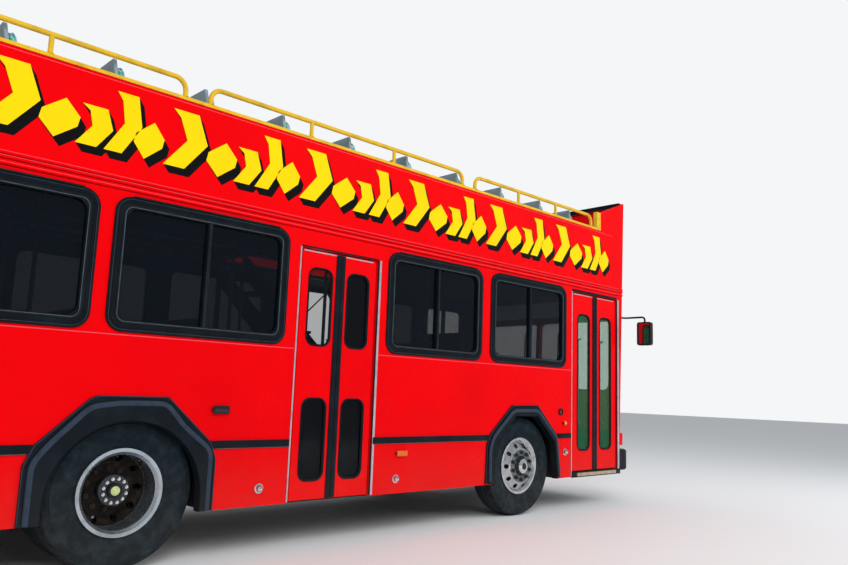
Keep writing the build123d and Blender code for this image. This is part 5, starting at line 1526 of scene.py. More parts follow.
@dataclass
class SideDoors:
    """Rubbers, jambs, handrails and sill of a double door on the right.

    Args:
        name: Name of the door.
        x0: Rear edge of the opening, ahead of the rear axle.
        x1: Front edge of the opening.
        foot: Foot of the leaves.
        head: Head of the opening.
        panes: Heights of the panes in each leaf.
        margin: From a leaf's edge to its pane.
        films: Leaf and pane number of each pane darkened by a black sheet on its inner face, as painted
            shade.
        strip: Width of the rubber along each meeting edge.
        jamb_gap: Gap between a leaf and its jamb.
        leaf_gap: Gap between the two leaves.
        recess: How far the leaves lie in from the skin.
        thick: Thickness of a leaf.
        corner: Radius of a pane's corners.
        header: Height of the black strip over the opening, painted shade under the door's head.
        front_jamb: Near and far edge of the front jamb, from the opening's edge; a black strip of painted
            shade fills the gap up to the near edge.
        braced: Leaf with a slanted brace behind its upper pane in place of the handrail.
        tread: Rear and front edge of the worn tread nosing, where there is one.
        sill_foot: Height of the jambs' feet.
        sill_z: Foot and head of the sill.
        tread_z: Foot and head of the tread nosing.
        brace_ends: Ends of the brace, from the leaf's rear edge and up.
    """

    name: str
    x0: float
    x1: float
    foot: float
    head: float
    panes: Outline
    margin: float
    films: tuple[tuple[str, int], ...] = ()
    strip: float = 0.043
    jamb_gap: float = 0.016
    leaf_gap: float = 0.010
    recess: float = 0.005
    thick: float = 0.035
    corner: float = 0.075
    header: float = 0.012
    front_jamb: tuple[float, float] = (0.014, 0.040)
    braced: str = ""
    tread: tuple[float, ...] = ()
    sill_foot: float = 0.372
    sill_z: tuple[float, float] = (0.357, 0.421)
    tread_z: tuple[float, float] = (0.370, 0.408)
    brace_ends: Outline = ((0.020, 1.825), (0.310, 2.105))

    def body(self, leaf: str) -> str:
        """Body that a leaf swings with."""
        return f"{self.name}_door_{leaf}"

    def leaves(self) -> Iterable[tuple[str, float, float]]:
        """Name, outer edge and meeting edge of each leaf, in X.

        Returns:
            Each leaf in turn.
        """
        middle = along((self.x0 + self.x1) / 2)
        yield "rearward", along(self.x0) + self.jamb_gap, middle - self.leaf_gap / 2
        yield "forward", along(self.x1) - self.jamb_gap, middle + self.leaf_gap / 2

    def build(self) -> None:
        """Dresses both leaves and the opening."""
        for leaf, outer, meeting in self.leaves():
            self.rubbers(leaf, outer, meeting)
            self.handrail(leaf, outer, meeting)
            self.shade_sheets(leaf, outer, meeting)
        self.opening()

    def shade_sheets(self, leaf: str, outer: float, meeting: float) -> None:
        """Black sheet on the inner face of the darkened panes, as painted shade for the dark inside of the
        bus.

        Args:
            leaf: Name of the leaf.
            outer: X of its outer edge.
            meeting: X of its meeting edge.
        """
        dark = [self.panes[number] for name, number in self.films if name == leaf]
        if not dark:
            return
        piece = Piece(f"{self.name}_door_films_{leaf}", BLACK_FILM_AND_PANE_SHADE, self.body(leaf))
        low, high = sorted((outer, meeting))
        for foot, head in dark:
            outline = box_outline(low + self.margin, high - self.margin, foot, head)
            # painted shade: a black sheet behind the pane where the bus's inside is dark
            piece.add(plate_form(outline, 0.001, self.corner), side_place(-1, -self.recess - 0.0225))
        piece.build()

    def rubbers(self, leaf: str, outer: float, meeting: float) -> None:
        """Pane gaskets and the seal along the meeting edge of a leaf.

        Args:
            leaf: Name of the leaf.
            outer: X of its outer edge.
            meeting: X of its meeting edge.
        """
        piece = Piece(f"{self.name}_door_rubbers_{leaf}", RUBBER, self.body(leaf))
        place = side_place(-1, -self.recess)
        low, high = sorted((outer, meeting))
        section = [(0.003, 0.007), (0.007, 0.001), (0.005, -0.004), (0.006, -0.012)]
        lip, side_lip = 0.010, 0.003
        for foot, head in self.panes:
            rear, front = low + self.margin - side_lip, high - self.margin + side_lip
            outline = box_outline(rear, front, foot - lip, head + lip)
            piece.add(rim_form(outline, self.corner + lip, section, 7), place)
        inward = math.copysign(1.0, outer - meeting)
        edges = sorted((meeting - inward * (self.leaf_gap / 2 - 0.001), meeting + inward * self.strip))
        foot, head = self.foot + 0.004, self.head - self.jamb_gap - 0.004
        outline = box_outline(edges[0], edges[1], foot, head)
        piece.add(plate_form(outline, 0.010, 0.0, 0.004), place)
        piece.build()

    def handrail(self, leaf: str, outer: float, meeting: float) -> None:
        """Chromed handrail on the inside of a leaf, or the black brace in its place.

        Args:
            leaf: Name of the leaf.
            outer: X of its outer edge.
            meeting: X of its meeting edge.
        """
        inner = -self.recess - self.thick
        if leaf == self.braced:
            self.brace(self.body(leaf), min(outer, meeting), inner)
            return
        piece = Piece(f"{self.name}_door_handrail_{leaf}", CHROME, self.body(leaf))
        middle = (outer + meeting) / 2
        reach = 0.045
        foot, head = self.foot + 0.55, self.foot + 1.55
        low_end = [(middle, foot, inner), (middle, foot, inner - reach)]
        route = [*low_end, (middle, head, inner - reach), (middle, head, inner)]
        piece.add(tube_form(bent(route, 0.03), 0.011), side_place(-1))
        piece.build()

    def brace(self, body: str, low: float, inner: float) -> None:
        """Slanted black brace behind the upper pane of a leaf.

        Args:
            body: Body of the leaf.
            low: X of the leaf's rear edge.
            inner: Place of the leaf's inner face, outward from the skin.
        """
        piece = Piece(f"{body}_brace", BLACK_PLASTIC, body)
        reach = 0.020
        foot, head = ((low + x, z) for x, z in self.brace_ends)
        route = [(*foot, inner), (*foot, inner - reach), (*head, inner - reach), (*head, inner)]
        piece.add(tube_form(bent(route, 0.010), 0.006), side_place(-1))
        piece.build()

    def sill(self) -> None:
        """Black sill under the leaves with a worn tread nosing."""
        sill = Piece(f"{self.name}_door_sill", RUBBER)
        foot, head = self.sill_z
        x0, x1 = along(self.x0) + 0.014, along(self.x1) + 0.075
        sill.add(box_form((x0, foot, -0.030), (x1, head, 0.012), 0.004), side_place(-1))
        sill.build()
        nosing = Piece(f"{self.name}_door_tread_nosing", TREAD_ALUMINIUM)
        foot, head = self.tread_z
        low, high = (along(self.tread[0]), foot, 0.0), (along(self.tread[1]), head, 0.030)
        nosing.add(box_form(low, high, 0.005), side_place(-1))
        nosing.build()

    def opening(self) -> None:
        """Aluminium jambs, black strips of painted shade over the opening and beside the front jamb, the
        leaves' heads, and the sill where there is one.
        """
        metal = Piece(f"{self.name}_door_jambs", MILL_ALUMINIUM)
        place = side_place(-1)
        x0, x1 = along(self.x0), along(self.x1)
        foot, head = self.sill_foot, self.head
        seal, reach = self.front_jamb
        metal.add(box_form((x0 - 0.014, foot, 0), (x0 - 0.001, head, 0.007), 0.002), place)
        metal.add(box_form((x1 + seal, foot, 0), (x1 + reach, head, 0.008), 0.002), place)
        metal.build()
        # painted shade: black strips under the door's head and in the gap beside the front jamb
        dark = Piece(f"{self.name}_door_head_seal", RUBBER)
        dark.add(box_form((x0, head, 0), (x1, head + self.header, 0.010), 0.003), place)
        dark.add(box_form((x1 + 0.001, foot, 0), (x1 + seal, head, 0.011), 0.002), place)
        dark.build()
        self.leaf_heads()
        if self.tread:
            self.sill()

    def leaf_heads(self) -> None:
        """A bright folded edge along the head of each leaf."""
        for leaf, outer, meeting in self.leaves():
            piece = Piece(f"{self.name}_door_head_{leaf}", MILL_ALUMINIUM, self.body(leaf))
            low, high = sorted((outer, meeting))
            head = self.head - self.jamb_gap
            fold = box_form((low + 0.010, head - 0.016, 0), (high - 0.040, head - 0.006, 0.004), 0.001)
            piece.add(fold, side_place(-1, -self.recess))
            piece.build()


REAR_DOOR = SideDoors(
    "rear", 1.312, 2.152, 0.378, 2.456, ((0.530, 1.194), (1.638, 2.291)), 0.072,
    (("rearward", 0), ("forward", 0), ("forward", 1)), braced="rearward",
)
FRONT_DOOR = SideDoors(
    "front", 5.220, 6.190, 0.432, 2.545, ((0.665, 2.280),), 0.100,
    header=0.028, front_jamb=(0.016, 0.060), tread=(5.315, 6.137),
)


@dataclass
class Wheel:
    """Tyre, nuts, hub and caps of one wheel, with its body and side.

    Args:
        end: Front or rear.
        side_name: Left or right.
        side: One for left, minus one for right.
        axle_x: X of the axle.
        tyres: Insets of the tyres from the outer tyre's outer face.
        turns: Steps of a tyre's full turn.
        shoulder: Least radius of the shoulder faces, and their near and far distance from a tyre's side.
        groove: Depth of a lateral groove.
    """

    end: str
    side_name: str
    side: int
    axle_x: float
    tyres: tuple[float, ...]
    turns: int = 96
    shoulder: tuple[float, float, float] = (0.5145, 0.036, 0.058)
    groove: float = 0.008

    def place(self) -> Matrix:
        """Matrix of this wheel."""
        return axle_place(self.axle_x, self.side)

    def build(self) -> None:
        """Makes the tyres and the fittings of the wheel."""
        self.rubber()
        if self.end == "front":
            self.front_fittings()
        else:
            self.rear_fittings()

    def section(self) -> list[tuple[float, float]]:
        """Half of a tyre's section from the bead to the crown, with rings and grooves.

        Returns:
            Radius and height of each point.
        """
        return [
            (0.285, -0.034), (0.300, -0.034), (0.303, -0.030), (0.309, -0.029), (0.312, -0.032),
            (0.335, -0.020), (0.352, -0.014), (0.356, -0.0105), (0.362, -0.0105), (0.366, -0.0115),
            (0.400, -0.004), (0.430, 0.0), (0.455, -0.0035), (0.459, -0.0015), (0.466, -0.0025),
            (0.470, -0.0065), (0.480, -0.008), (0.500, -0.021), (0.507, -0.022), (0.514, -0.034),
            (0.518, -0.045), (0.5195, -0.058), (0.508, -0.060), (0.508, -0.068), (0.521, -0.070),
            (0.5235, -0.100), (0.511, -0.102), (0.511, -0.110), (0.5242, -0.112),
        ]

    def rubber(self) -> None:
        """Tyres turned from their section, with tread blocks cut across the shoulders."""
        piece = Piece(f"tyre_rubber_{self.end}_{self.side_name}", TYRE_RUBBER, self.body(), 28.0)
        half = self.section()
        other = [(radius, -TYRE_WIDTH - height) for radius, height in reversed(half)]
        for inset in self.tyres:
            form = turned_form([*half, *other], self.turns, closed=True)
            self.cut_tread(form)
            piece.add(form, self.place() @ Matrix.Translation((0, 0, -inset)))
        piece.build(replaces=(f"tyre_{self.end}_{self.side_name}",))

    def cut_tread(self, form: Form) -> None:
        """Sinks every third shoulder face between two ribs to make the lateral grooves.

        Args:
            form: The turned tyre.
        """
        form.faces.ensure_lookup_table()
        step = math.tau / self.turns
        least, near, far = self.shoulder
        for face in form.faces[:]:
            centre = face.calc_center_median()
            radius = math.hypot(centre.x, centre.y)
            depth = min(-centre.z, TYRE_WIDTH + centre.z)
            on_shoulder = radius > least and near < depth < far
            turn = round((math.atan2(centre.y, centre.x) / step) - 0.5)
            if on_shoulder and turn % 3 == 0:
                bmesh.ops.inset_individual(form, faces=[face], thickness=0.002, depth=0.0)
                inward = -Vector((centre.x, centre.y, 0)).normalized()
                bmesh.ops.translate(form, vec=inward * self.groove, verts=face.verts)

    def body(self) -> str:
        """Body that the wheel turns with."""
        return f"{self.end}_wheel_{self.side_name}"

    def nuts(
        self, name: str, finish: Finish, circle: float, out: float, size: float, count: int = 10
    ) -> None:
        """Hexagon nuts with studs on a circle.

        Args:
            name: Name of the piece, without end and side.
            finish: Its finish.
            circle: Radius of the circle.
            out: Distance of their seats outward from the tyre's face.
            size: Radius of a nut over its corners.
            count: How many.
        """
        piece = Piece(f"{name}_{self.end}_{self.side_name}", finish, self.body())
        for index in range(count):
            angle = math.tau * (index + 0.5) / count
            x, y = circle * math.cos(angle), circle * math.sin(angle)
            piece.add(rod_form((x, y, out), (x, y, out + 0.022), size, 6), self.place())
            piece.add(rod_form((x, y, out + 0.018), (x, y, out + 0.034), size * 0.55, 10), self.place())
        piece.build()

    def turned(self, name: str, finish: Finish, *rings: tuple[Points, int, bool]) -> None:
        """One piece of turned rings.

        Args:
            name: Name of the piece, without end and side.
            finish: Its finish.
            rings: Profile and steps of each ring, and whether its profile is closed.
        """
        piece = Piece(f"{name}_{self.end}_{self.side_name}", finish, self.body())
        for profile, steps, closed in rings:
            piece.add(turned_form(profile, steps, closed=closed), self.place())
        piece.build()

    def front_fittings(self) -> None:
        """Nuts, hub cap and collar of a polished front wheel."""
        self.nuts("wheel_nuts", FLANGE_STEEL, 0.143, 0.005, 0.021)
        cap = [(0.036, 0.050), (0.042, 0.054), (0.060, 0.051), (0.078, 0.040), (0.080, 0.004), (0.036, 0.004)]
        self.turned("hub_cap", CHROME, (cap, 40, True))
        disc = [(0.0, 0.047), (0.024, 0.047), (0.036, 0.044), (0.036, 0.030), (0.0, 0.030)]
        collar = [(0.080, 0.004), (0.080, 0.018), (0.092, 0.020), (0.104, 0.012), (0.108, 0.004)]
        self.turned("wheel_cap_centre", BLACK_PLASTIC, (disc, 24, False), (collar, 40, True))

    def rear_fittings(self) -> None:
        """Nuts, axle flange, its studs and the dust cap of a rear wheel."""
        self.nuts("wheel_nuts", CAST_IRON, 0.143, -0.297, 0.021)
        flange = [
            (0.0, -0.140), (0.103, -0.140), (0.108, -0.146), (0.108, -0.164), (0.070, -0.176), (0.0, -0.176),
        ]
        self.turned("axle_flange", FLANGE_STEEL, (flange, 40, False))
        self.nuts("flange_studs", CHROME, 0.082, -0.141, 0.0125, 12)
        ring = [
            (0.028, -0.140), (0.050, -0.136), (0.051, -0.112), (0.042, -0.108), (0.034, -0.112),
            (0.028, -0.116),
        ]
        self.turned("hub_ring", BLACK_PLASTIC, (ring, 36, True))
        cap = [(0.0, -0.104), (0.024, -0.106), (0.032, -0.111), (0.033, -0.122), (0.0, -0.122)]
        self.turned("dust_cap", DUST_CAP, (cap, 32, False))


@dataclass(frozen=True)
class WheelArch:
    """Painted highlight lines along the bead and the outer rim, and the lining, of the rubber round one kind
    of wheel arch.

    Args:
        end: Front or rear.
        axle_x: X of the axle.
        bead: Route of the raised bead from the axle, heights from the ground.
        lining: Route of the opening's edge.
        rim: Route of the trim's outer edge, a little inside it.
        line: Width of the painted highlight along the bead.
        depth: Depth of the lining, the wall's own thickness.
    """

    end: str
    axle_x: float
    bead: Points
    lining: Points
    rim: Points
    line: float = 0.040
    depth: float = 0.052

    def build(self) -> None:
        """Makes the painted highlight lines of bead and rim, and the lining, on both sides."""
        for side_name, side in SIDES:
            place = side_place(side) @ Matrix.Translation((self.axle_x, 0, 0))
            # painted highlight along the bead and along the trim's outer rim
            bead = Piece(f"arch_bead_{self.end}_{side_name}", PAINTED_BEAD_HIGHLIGHT)
            tube = tube_form(self.bead, self.line / 2)
            bmesh.ops.scale(tube, vec=(1, 1, 0.65), verts=tube.verts)
            bead.add(tube, place @ Matrix.Translation((0, 0, 0.024)))
            bead.add(tube_form(self.rim, 0.004), place @ Matrix.Translation((0, 0, 0.0135)))
            bead.build()
            lining = Piece(f"arch_lining_{self.end}_{side_name}", RUBBER)
            lining.add(
                strip_form(self.lining, (0, 0, -self.depth - 0.030), 0.002),
                place @ Matrix.Translation((0, 0, 0.0325)),
            )
            lining.build()


def arc_route(radius: float, middle_z: float, foot_z: float, steps: int = 24) -> list[Vector]:
    """Route of a round arch on straight legs.

    Args:
        radius: Radius of the arch.
        middle_z: Height of its centre.
        foot_z: Height of the legs' feet.
        steps: Steps of the arc.

    Returns:
        The points of the route.
    """
    arc = [
        Vector((-radius * math.cos(turn), middle_z + radius * math.sin(turn), 0))
        for turn in (math.pi * step / steps for step in range(steps + 1))
    ]
    return [Vector((-radius, foot_z, 0)), *arc, Vector((radius, foot_z, 0))]


def corner_route(points: Points, corner: float = 0.060) -> list[Vector]:
    """Route of straight runs with rounded corners, in the side's plane."""
    return bent([(x, z, 0) for x, z in points], corner)


WHEEL_ARCHES = (
    WheelArch(
        "rear", REAR_AXLE_X,
        corner_route((
            (-0.617, 0.372), (-0.617, 0.747), (-0.533, 0.857), (-0.289, 1.106), (-0.096, 1.132),
            (0.234, 1.132), (0.375, 0.974), (0.600, 0.799), (0.600, 0.372),
        )),
        arc_route(0.538, 0.475, 0.366),
        corner_route((
            (-0.663, 0.372), (-0.663, 0.731), (-0.611, 0.856), (-0.292, 1.156), (-0.241, 1.177),
            (0.249, 1.177), (0.601, 0.857), (0.648, 0.735), (0.648, 0.372),
        ), 0.030),
    ),
    WheelArch(
        "front", FRONT_AXLE_X,
        corner_route((
            (-0.590, 0.398), (-0.590, 0.740), (-0.535, 0.850), (-0.215, 1.118), (0.203, 1.120),
            (0.555, 0.812), (0.610, 0.398),
        )),
        corner_route((
            (-0.533, 0.366), (-0.533, 0.659), (-0.469, 0.800), (-0.190, 1.060), (0.190, 1.060),
            (0.518, 0.771), (0.569, 0.366),
        )),
        corner_route((
            (-0.645, 0.380), (-0.627, 0.772), (-0.573, 0.878), (-0.230, 1.169), (0.213, 1.175),
            (0.581, 0.840), (0.640, 0.385),
        ), 0.040),
    ),
)


@dataclass(frozen=True)
class SplashFlaps:
    """Rubber flaps under the end plates of the wheel boxes, clear of the tyres at full lock.

    Args:
        boxes: Rear edge, front edge and inner Y of each pair of wheel boxes.
        foot: Height of a flap's foot.
        head: Height of its head, under the floor.
        thick: Its thickness.
    """

    boxes: tuple[tuple[float, float, float], ...] = (
        (REAR_AXLE_X - 0.620, REAR_AXLE_X + 0.620, 0.600),
        (FRONT_AXLE_X - 0.600, FRONT_AXLE_X + 0.640, 0.595),
    )
    foot: float = 0.360
    head: float = 0.834
    thick: float = 0.008

    def build(self) -> None:
        """Hangs two flaps in each wheel box."""
        piece = Piece("splash_flaps", FLAP_RUBBER)
        for rear, front, inner in self.boxes:
            for _, side in SIDES:
                low_y, high_y = sorted((side * inner, side * (HALF_WIDTH - 0.045)))
                for x in (rear, front - self.thick):
                    piece.add(box_form((x, low_y, self.foot), (x + self.thick, high_y, self.head), 0.002))
        piece.build()


@dataclass(frozen=True)
class PadShape:
    """One kind of seat pad: foam under sewn cloth, blown up by a short cloth simulation.

    Local X runs across the bus, Y from the foot of the pad to its head and Z out of its shell.

    Args:
        name: Name of the kind.
        width: Width of the finished pad.
        length: Length of the finished pad.
        thick: Thickness of the finished pad.
        head_pull: How far the head's corners are pulled in, as a share.
        foot_pull: How far the foot's corners are pulled in, as a share.
        swell: How far the cloth may move, so the pad starts that much smaller.
        sunk: Depth of the two channels sewn across.
        cells: Cells along each side of the grid.
        layers: Cells through the thickness.
    """

    name: str
    width: float
    length: float
    thick: float
    head_pull: float = 0.13
    foot_pull: float = 0.13
    swell: float = 0.010
    sunk: float = 0.006
    cells: int = 9
    layers: int = 3

    def grid(self) -> Form:
        """A cube from minus one to one, cut into even cells.

        Returns:
            The form.
        """
        form = bmesh.new()
        bmesh.ops.create_cube(form, size=2.0)
        for axis, count in enumerate((self.cells, self.cells, self.layers)):
            runs = [edge for edge in form.edges if abs((edge.verts[0].co - edge.verts[1].co)[axis]) > 1.5]
            bmesh.ops.subdivide_edges(form, edges=runs, cuts=count - 1, use_grid_fill=True)
        return form

    def place(self, share: Vector) -> Vector:
        """Start of a grid point: rounded corners, a crowned top and a flat foot.

        Args:
            share: The grid point, each axis from minus one to one.

        Returns:
            Its place in metres.
        """
        u, v, w = share
        pull = self.head_pull if v > 0 else self.foot_pull
        x = u * (self.width / 2 - self.swell) * math.sqrt(1 - pull * v**6)
        y = v * (self.length / 2 - self.swell) * math.sqrt(1 - pull * u**6)
        top = (self.thick - self.swell) * (1 - 0.20 * (u**4 + v**4))
        return Vector((x, y, (w + 1) / 2 * top))

    def start(self) -> bpy.types.Object:
        """The pad before it swells, with its foot pinned and the cloth ready to run.

        Returns:
            The pad's object.
        """
        form = self.grid()
        form.verts.index_update()
        pinned = [vert.index for vert in form.verts if vert.co.z < -0.99]
        for vert in form.verts:
            vert.co = self.place(vert.co)
        mesh = bpy.data.meshes.new(self.name)
        form.to_mesh(mesh)
        form.free()
        holder = bpy.data.objects.new(self.name, mesh)
        bpy.context.scene.collection.objects.link(holder)
        holder.vertex_groups.new(name="foot").add(pinned, 1.0, "REPLACE")
        cloth = holder.modifiers.new("cloth", "CLOTH")
        cloth.settings.vertex_group_mass = "foot"
        cloth.settings.use_pressure = True
        cloth.settings.uniform_pressure_force = 4.0
        cloth.settings.effector_weights.gravity = 0.0
        return holder

    def blown(self, holder: bpy.types.Object) -> tuple[Form, list[Vector]]:
        """Caps the swelling, sews two channels across, subdivides and gives the welt's route.

        Args:
            holder: The pad's object after the simulation.

        Returns:
            The soft form and the route of its welt.
        """
        shares = self.grid()
        moved = holder.evaluated_get(bpy.context.evaluated_depsgraph_get()).to_mesh()
        ends = [vert.co.copy() for vert in moved.vertices]
        holder.modifiers.clear()
        ring = []
        for share, vert, end in zip(shares.verts, holder.data.vertices, ends):
            travel = end - vert.co
            travel.length = min(travel.length, self.swell)
            vert.co += travel
            inside = abs(share.co.x) < 0.99 and abs(share.co.y) < 0.99
            if share.co.z > 0.99 and inside and abs(abs(share.co.y) - 1 / 3) < 0.01:
                vert.co.z -= self.sunk
            if share.co.z > 0.99 and not inside:
                ring.append((math.atan2(share.co.y, share.co.x), vert.co.copy()))
        shares.free()
        smooth = holder.modifiers.new("subdivision", "SUBSURF")
        smooth.levels = smooth.render_levels = 1
        form = bmesh.new()
        form.from_object(holder, bpy.context.evaluated_depsgraph_get())
        bpy.data.objects.remove(holder)
        return form, [place for _, place in sorted(ring, key=lambda pair: pair[0])]


Pads = dict[PadShape, tuple[Form, list[Vector]]]


@dataclass(frozen=True)
class SeatBlock:
    """Rows of like seats on one deck.

    Args:
        deck: Lower, upper, bench or driver.
        foot_z: Foot of the pans.
        places: Middle of each place across the bus.
        rows: Hinge lines ahead of the rear axle.
        cushion: Kind of the cushions.
        back: Kind of the back pads.
        shell: Thickness of pan and shell.
        air: Space between the shell and the back pad.
    """

    deck: str
    foot_z: float
    places: tuple[float, ...]
    rows: tuple[float, ...]
    cushion: PadShape
    back: PadShape
    shell: float = 0.025
    air: float = 0.0106


RAKE = math.radians(12)
SHELL_UP = Vector((-math.sin(RAKE), 0, math.cos(RAKE)))
SHELL_OUT = Vector((math.cos(RAKE), 0, math.sin(RAKE)))
SHELL_TURN = Matrix((Vector((0, 1, 0)), SHELL_UP, SHELL_OUT)).transposed().to_4x4()
PLACE_PITCH = 0.420
CUSHION_THICK = 0.080
PAD_AIR = 0.006
SEAT_LIFT = 0.0003
# Height of the raised floor at the rear of the saloon
REAR_DECK_Z = 1.290
CUSHION = PadShape("cushion", 0.416, 0.430, CUSHION_THICK)
LOWER_BACK = PadShape("lower_back", 0.416, 0.4396, 0.0587, head_pull=0.22)
UPPER_BACK = PadShape("upper_back", 0.416, 0.3476, 0.0587, head_pull=0.22)
DRIVER_CUSHION = PadShape("driver_cushion", 0.456, 0.330, 0.045)
DRIVER_BACK = PadShape("driver_back", 0.456, 0.526, 0.045, head_pull=0.20)
RIGHT_PAIR = (-1.020, -0.600)
LEFT_PAIR = (0.600, 1.020)
UPPER_ROWS = (-2.375, -1.665, -0.955, -0.245, 0.465, 1.175, 1.885, 2.595, 3.305, 4.015, 4.725, 5.325)
BENCH_PLACES = tuple(PLACE_PITCH * place for place in range(-2, 3))
BENCH = SeatBlock("bench", 1.615, BENCH_PLACES, (-2.415,), CUSHION, LOWER_BACK)
SEAT_BLOCKS = (
    SeatBlock("lower", 1.210, RIGHT_PAIR, (-1.045, -0.255, 0.565, 2.395, 3.095), CUSHION, LOWER_BACK),
    SeatBlock("lower", 1.210, LEFT_PAIR, (-1.045, -0.255, 0.565, 1.245), CUSHION, LOWER_BACK),
    SeatBlock("upper", 3.085, RIGHT_PAIR, UPPER_ROWS, CUSHION, UPPER_BACK),
    SeatBlock("upper", 3.085, LEFT_PAIR, UPPER_ROWS[:6] + UPPER_ROWS[9:], CUSHION, UPPER_BACK),
    BENCH,
    SeatBlock("driver", 1.2255, (0.760,), (5.180,), DRIVER_CUSHION, DRIVER_BACK, 0.090, 0.0003),
)


@dataclass
class Seats:
    """Soft pads and welts of all seats.

    Args:
        frames: Steps of the simulation.
        welt: Radius of the welt round each pad.
    """

    frames: int = 20
    welt: float = 0.0045

    def build(self) -> None:
        """Blows up each kind of pad once and copies it to all its places."""
        kinds = {kind for block in SEAT_BLOCKS for kind in (block.cushion, block.back)}
        holders = {kind: kind.start() for kind in sorted(kinds, key=lambda kind: kind.name)}
        for step in range(1, self.frames + 1):
            bpy.context.scene.frame_set(step)
        pads = {kind: kind.blown(holder) for kind, holder in holders.items()}
        bpy.context.scene.frame_set(1)
        for deck in ("lower", "bench", "driver", "upper"):
            cloth = DECK_CLOTH if deck == "upper" else SALOON_CLOTH
            soft = Piece(f"{deck}_seat_cushions", cloth, sharp=80.0)
            welts = Piece(f"{deck}_seat_welts", WELT, sharp=80.0)
            for block in SEAT_BLOCKS:
                if block.deck == deck:
                    self.fill(block, pads, soft, welts)
            node = f"{deck}_seat_pads"
            soft.build(replaces=(node,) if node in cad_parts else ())
            welts.build()
        for form, _ in pads.values():
            form.free()
        self.bench_frame()

    def bench_frame(self) -> None:
        """Pan, shell and legs of the bench across the rear."""
        piece = Piece("rear_bench_frame", SEAT_SHELL)
        half = len(BENCH_PLACES) * PLACE_PITCH / 2
        rear, foot_z, pan = along(BENCH.rows[0]), BENCH.foot_z, BENCH.shell
        piece.add(box_form((rear, -half, foot_z), (rear + CUSHION.length, half, foot_z + pan), 0.006))
        shell = box_form((-half, 0.026, 0), (half, 0.560, pan), 0.006)
        piece.add(shell, Matrix.Translation((rear, 0, foot_z)) @ SHELL_TURN)
        for y in (-half + 0.120, half - 0.120):
            foot = (rear + 0.080, y - 0.020, REAR_DECK_Z + 0.0005)
            piece.add(box_form(foot, (rear + 0.350, y + 0.020, foot_z + 0.001), 0.004))
        piece.build()

    def fill(self, block: SeatBlock, pads: Pads, soft: Piece, welts: Piece) -> None:
        """Copies the pads and their welts to the places of one block.

        Args:
            block: The rows.
            pads: Form and welt route of each kind.
            soft: Piece that takes the pads.
            welts: Piece that takes the welts.
        """
        for row in block.rows:
            for y in block.places:
                places = {block.cushion: self.flat(block, row, y), block.back: self.raked(block, row, y)}
                for kind, place in places.items():
                    form, route = pads[kind]
                    soft.add(form.copy(), place)
                    welts.add(tube_form(route, self.welt, closed=True, resolution=1), place)

    def flat(self, block: SeatBlock, row: float, y: float) -> Matrix:
        """Place of a cushion, Y forward.

        Args:
            block: The rows.
            row: Hinge line ahead of the rear axle.
            y: Middle of the place.

        Returns:
            The matrix from the pad's to frame coordinates.
        """
        rear = along(row) + block.shell + PAD_AIR
        middle = Vector((rear + block.cushion.length / 2, y, block.foot_z + block.shell + SEAT_LIFT))
        return Matrix.Translation(middle) @ Matrix(((0, 1, 0, 0), (-1, 0, 0, 0), (0, 0, 1, 0), (0, 0, 0, 1)))

    def raked(self, block: SeatBlock, row: float, y: float) -> Matrix:
        """Place of a back pad, Y up the shell.

        Args:
            block: The rows.
            row: Hinge line ahead of the rear axle.
            y: Middle of the place.

        Returns:
            The matrix from the pad's to frame coordinates.
        """
        foot = block.shell + block.cushion.thick + 0.005
        middle = Vector((along(row), y, block.foot_z)) + SHELL_OUT * (block.shell + block.air)
        middle += SHELL_UP * (foot + block.back.length / 2)
        return Matrix.Translation(middle) @ SHELL_TURN


def upright_place(x: float, facing: int) -> Matrix:
    """Matrix of an upright plane across the bus: local X to the viewer's right, Y up and Z outward.

    Args:
        x: Where the plane stands.
        facing: One to face ahead, minus one to face the rear.

    Returns:
        The matrix from local to frame coordinates.
    """
    return Matrix(((0, 0, facing, x), (facing, 0, 0, 0), (0, 1, 0, 0), (0, 0, 0, 1)))


def lens_pair(bezel: Piece, lens: Piece, place: Matrix, radius: float, rise: float = 0.018) -> None:
    """A chromed ring and a domed lens over a round lamp.

    Args:
        bezel: Piece that takes the ring.
        lens: Piece that takes the lens.
        place: The lamp's centre on its wall, local Z outward.
        radius: Radius of the lamp's body.
        rise: How far the body stands out of the wall.
    """
    ring = [(radius + 0.0005, 0.001), (radius + 0.012, 0.001), (radius + 0.011, 0.009)]
    ring += [(radius + 0.002, rise + 0.004), (radius - 0.006, rise + 0.003), (radius - 0.006, rise + 0.0005)]
    ring += [(radius + 0.0005, rise + 0.0005)]
    bezel.add(turned_form(ring, 32, closed=True), place)
    dome = [(0.0, rise + 0.011), (radius * 0.45, rise + 0.010), (radius * 0.8, rise + 0.006)]
    dome += [(radius - 0.008, rise + 0.001), (0.0, rise + 0.001)]
    lens.add(turned_form(dome, 32), place)


# Steps of (inset, rise) across the rubber round a pane
PANE_RUBBER = ((0.004, 0.006), (0.010, 0.001), (0.006, -0.003), (0.006, -0.014))
BUMPER_TIP_X = 4.665


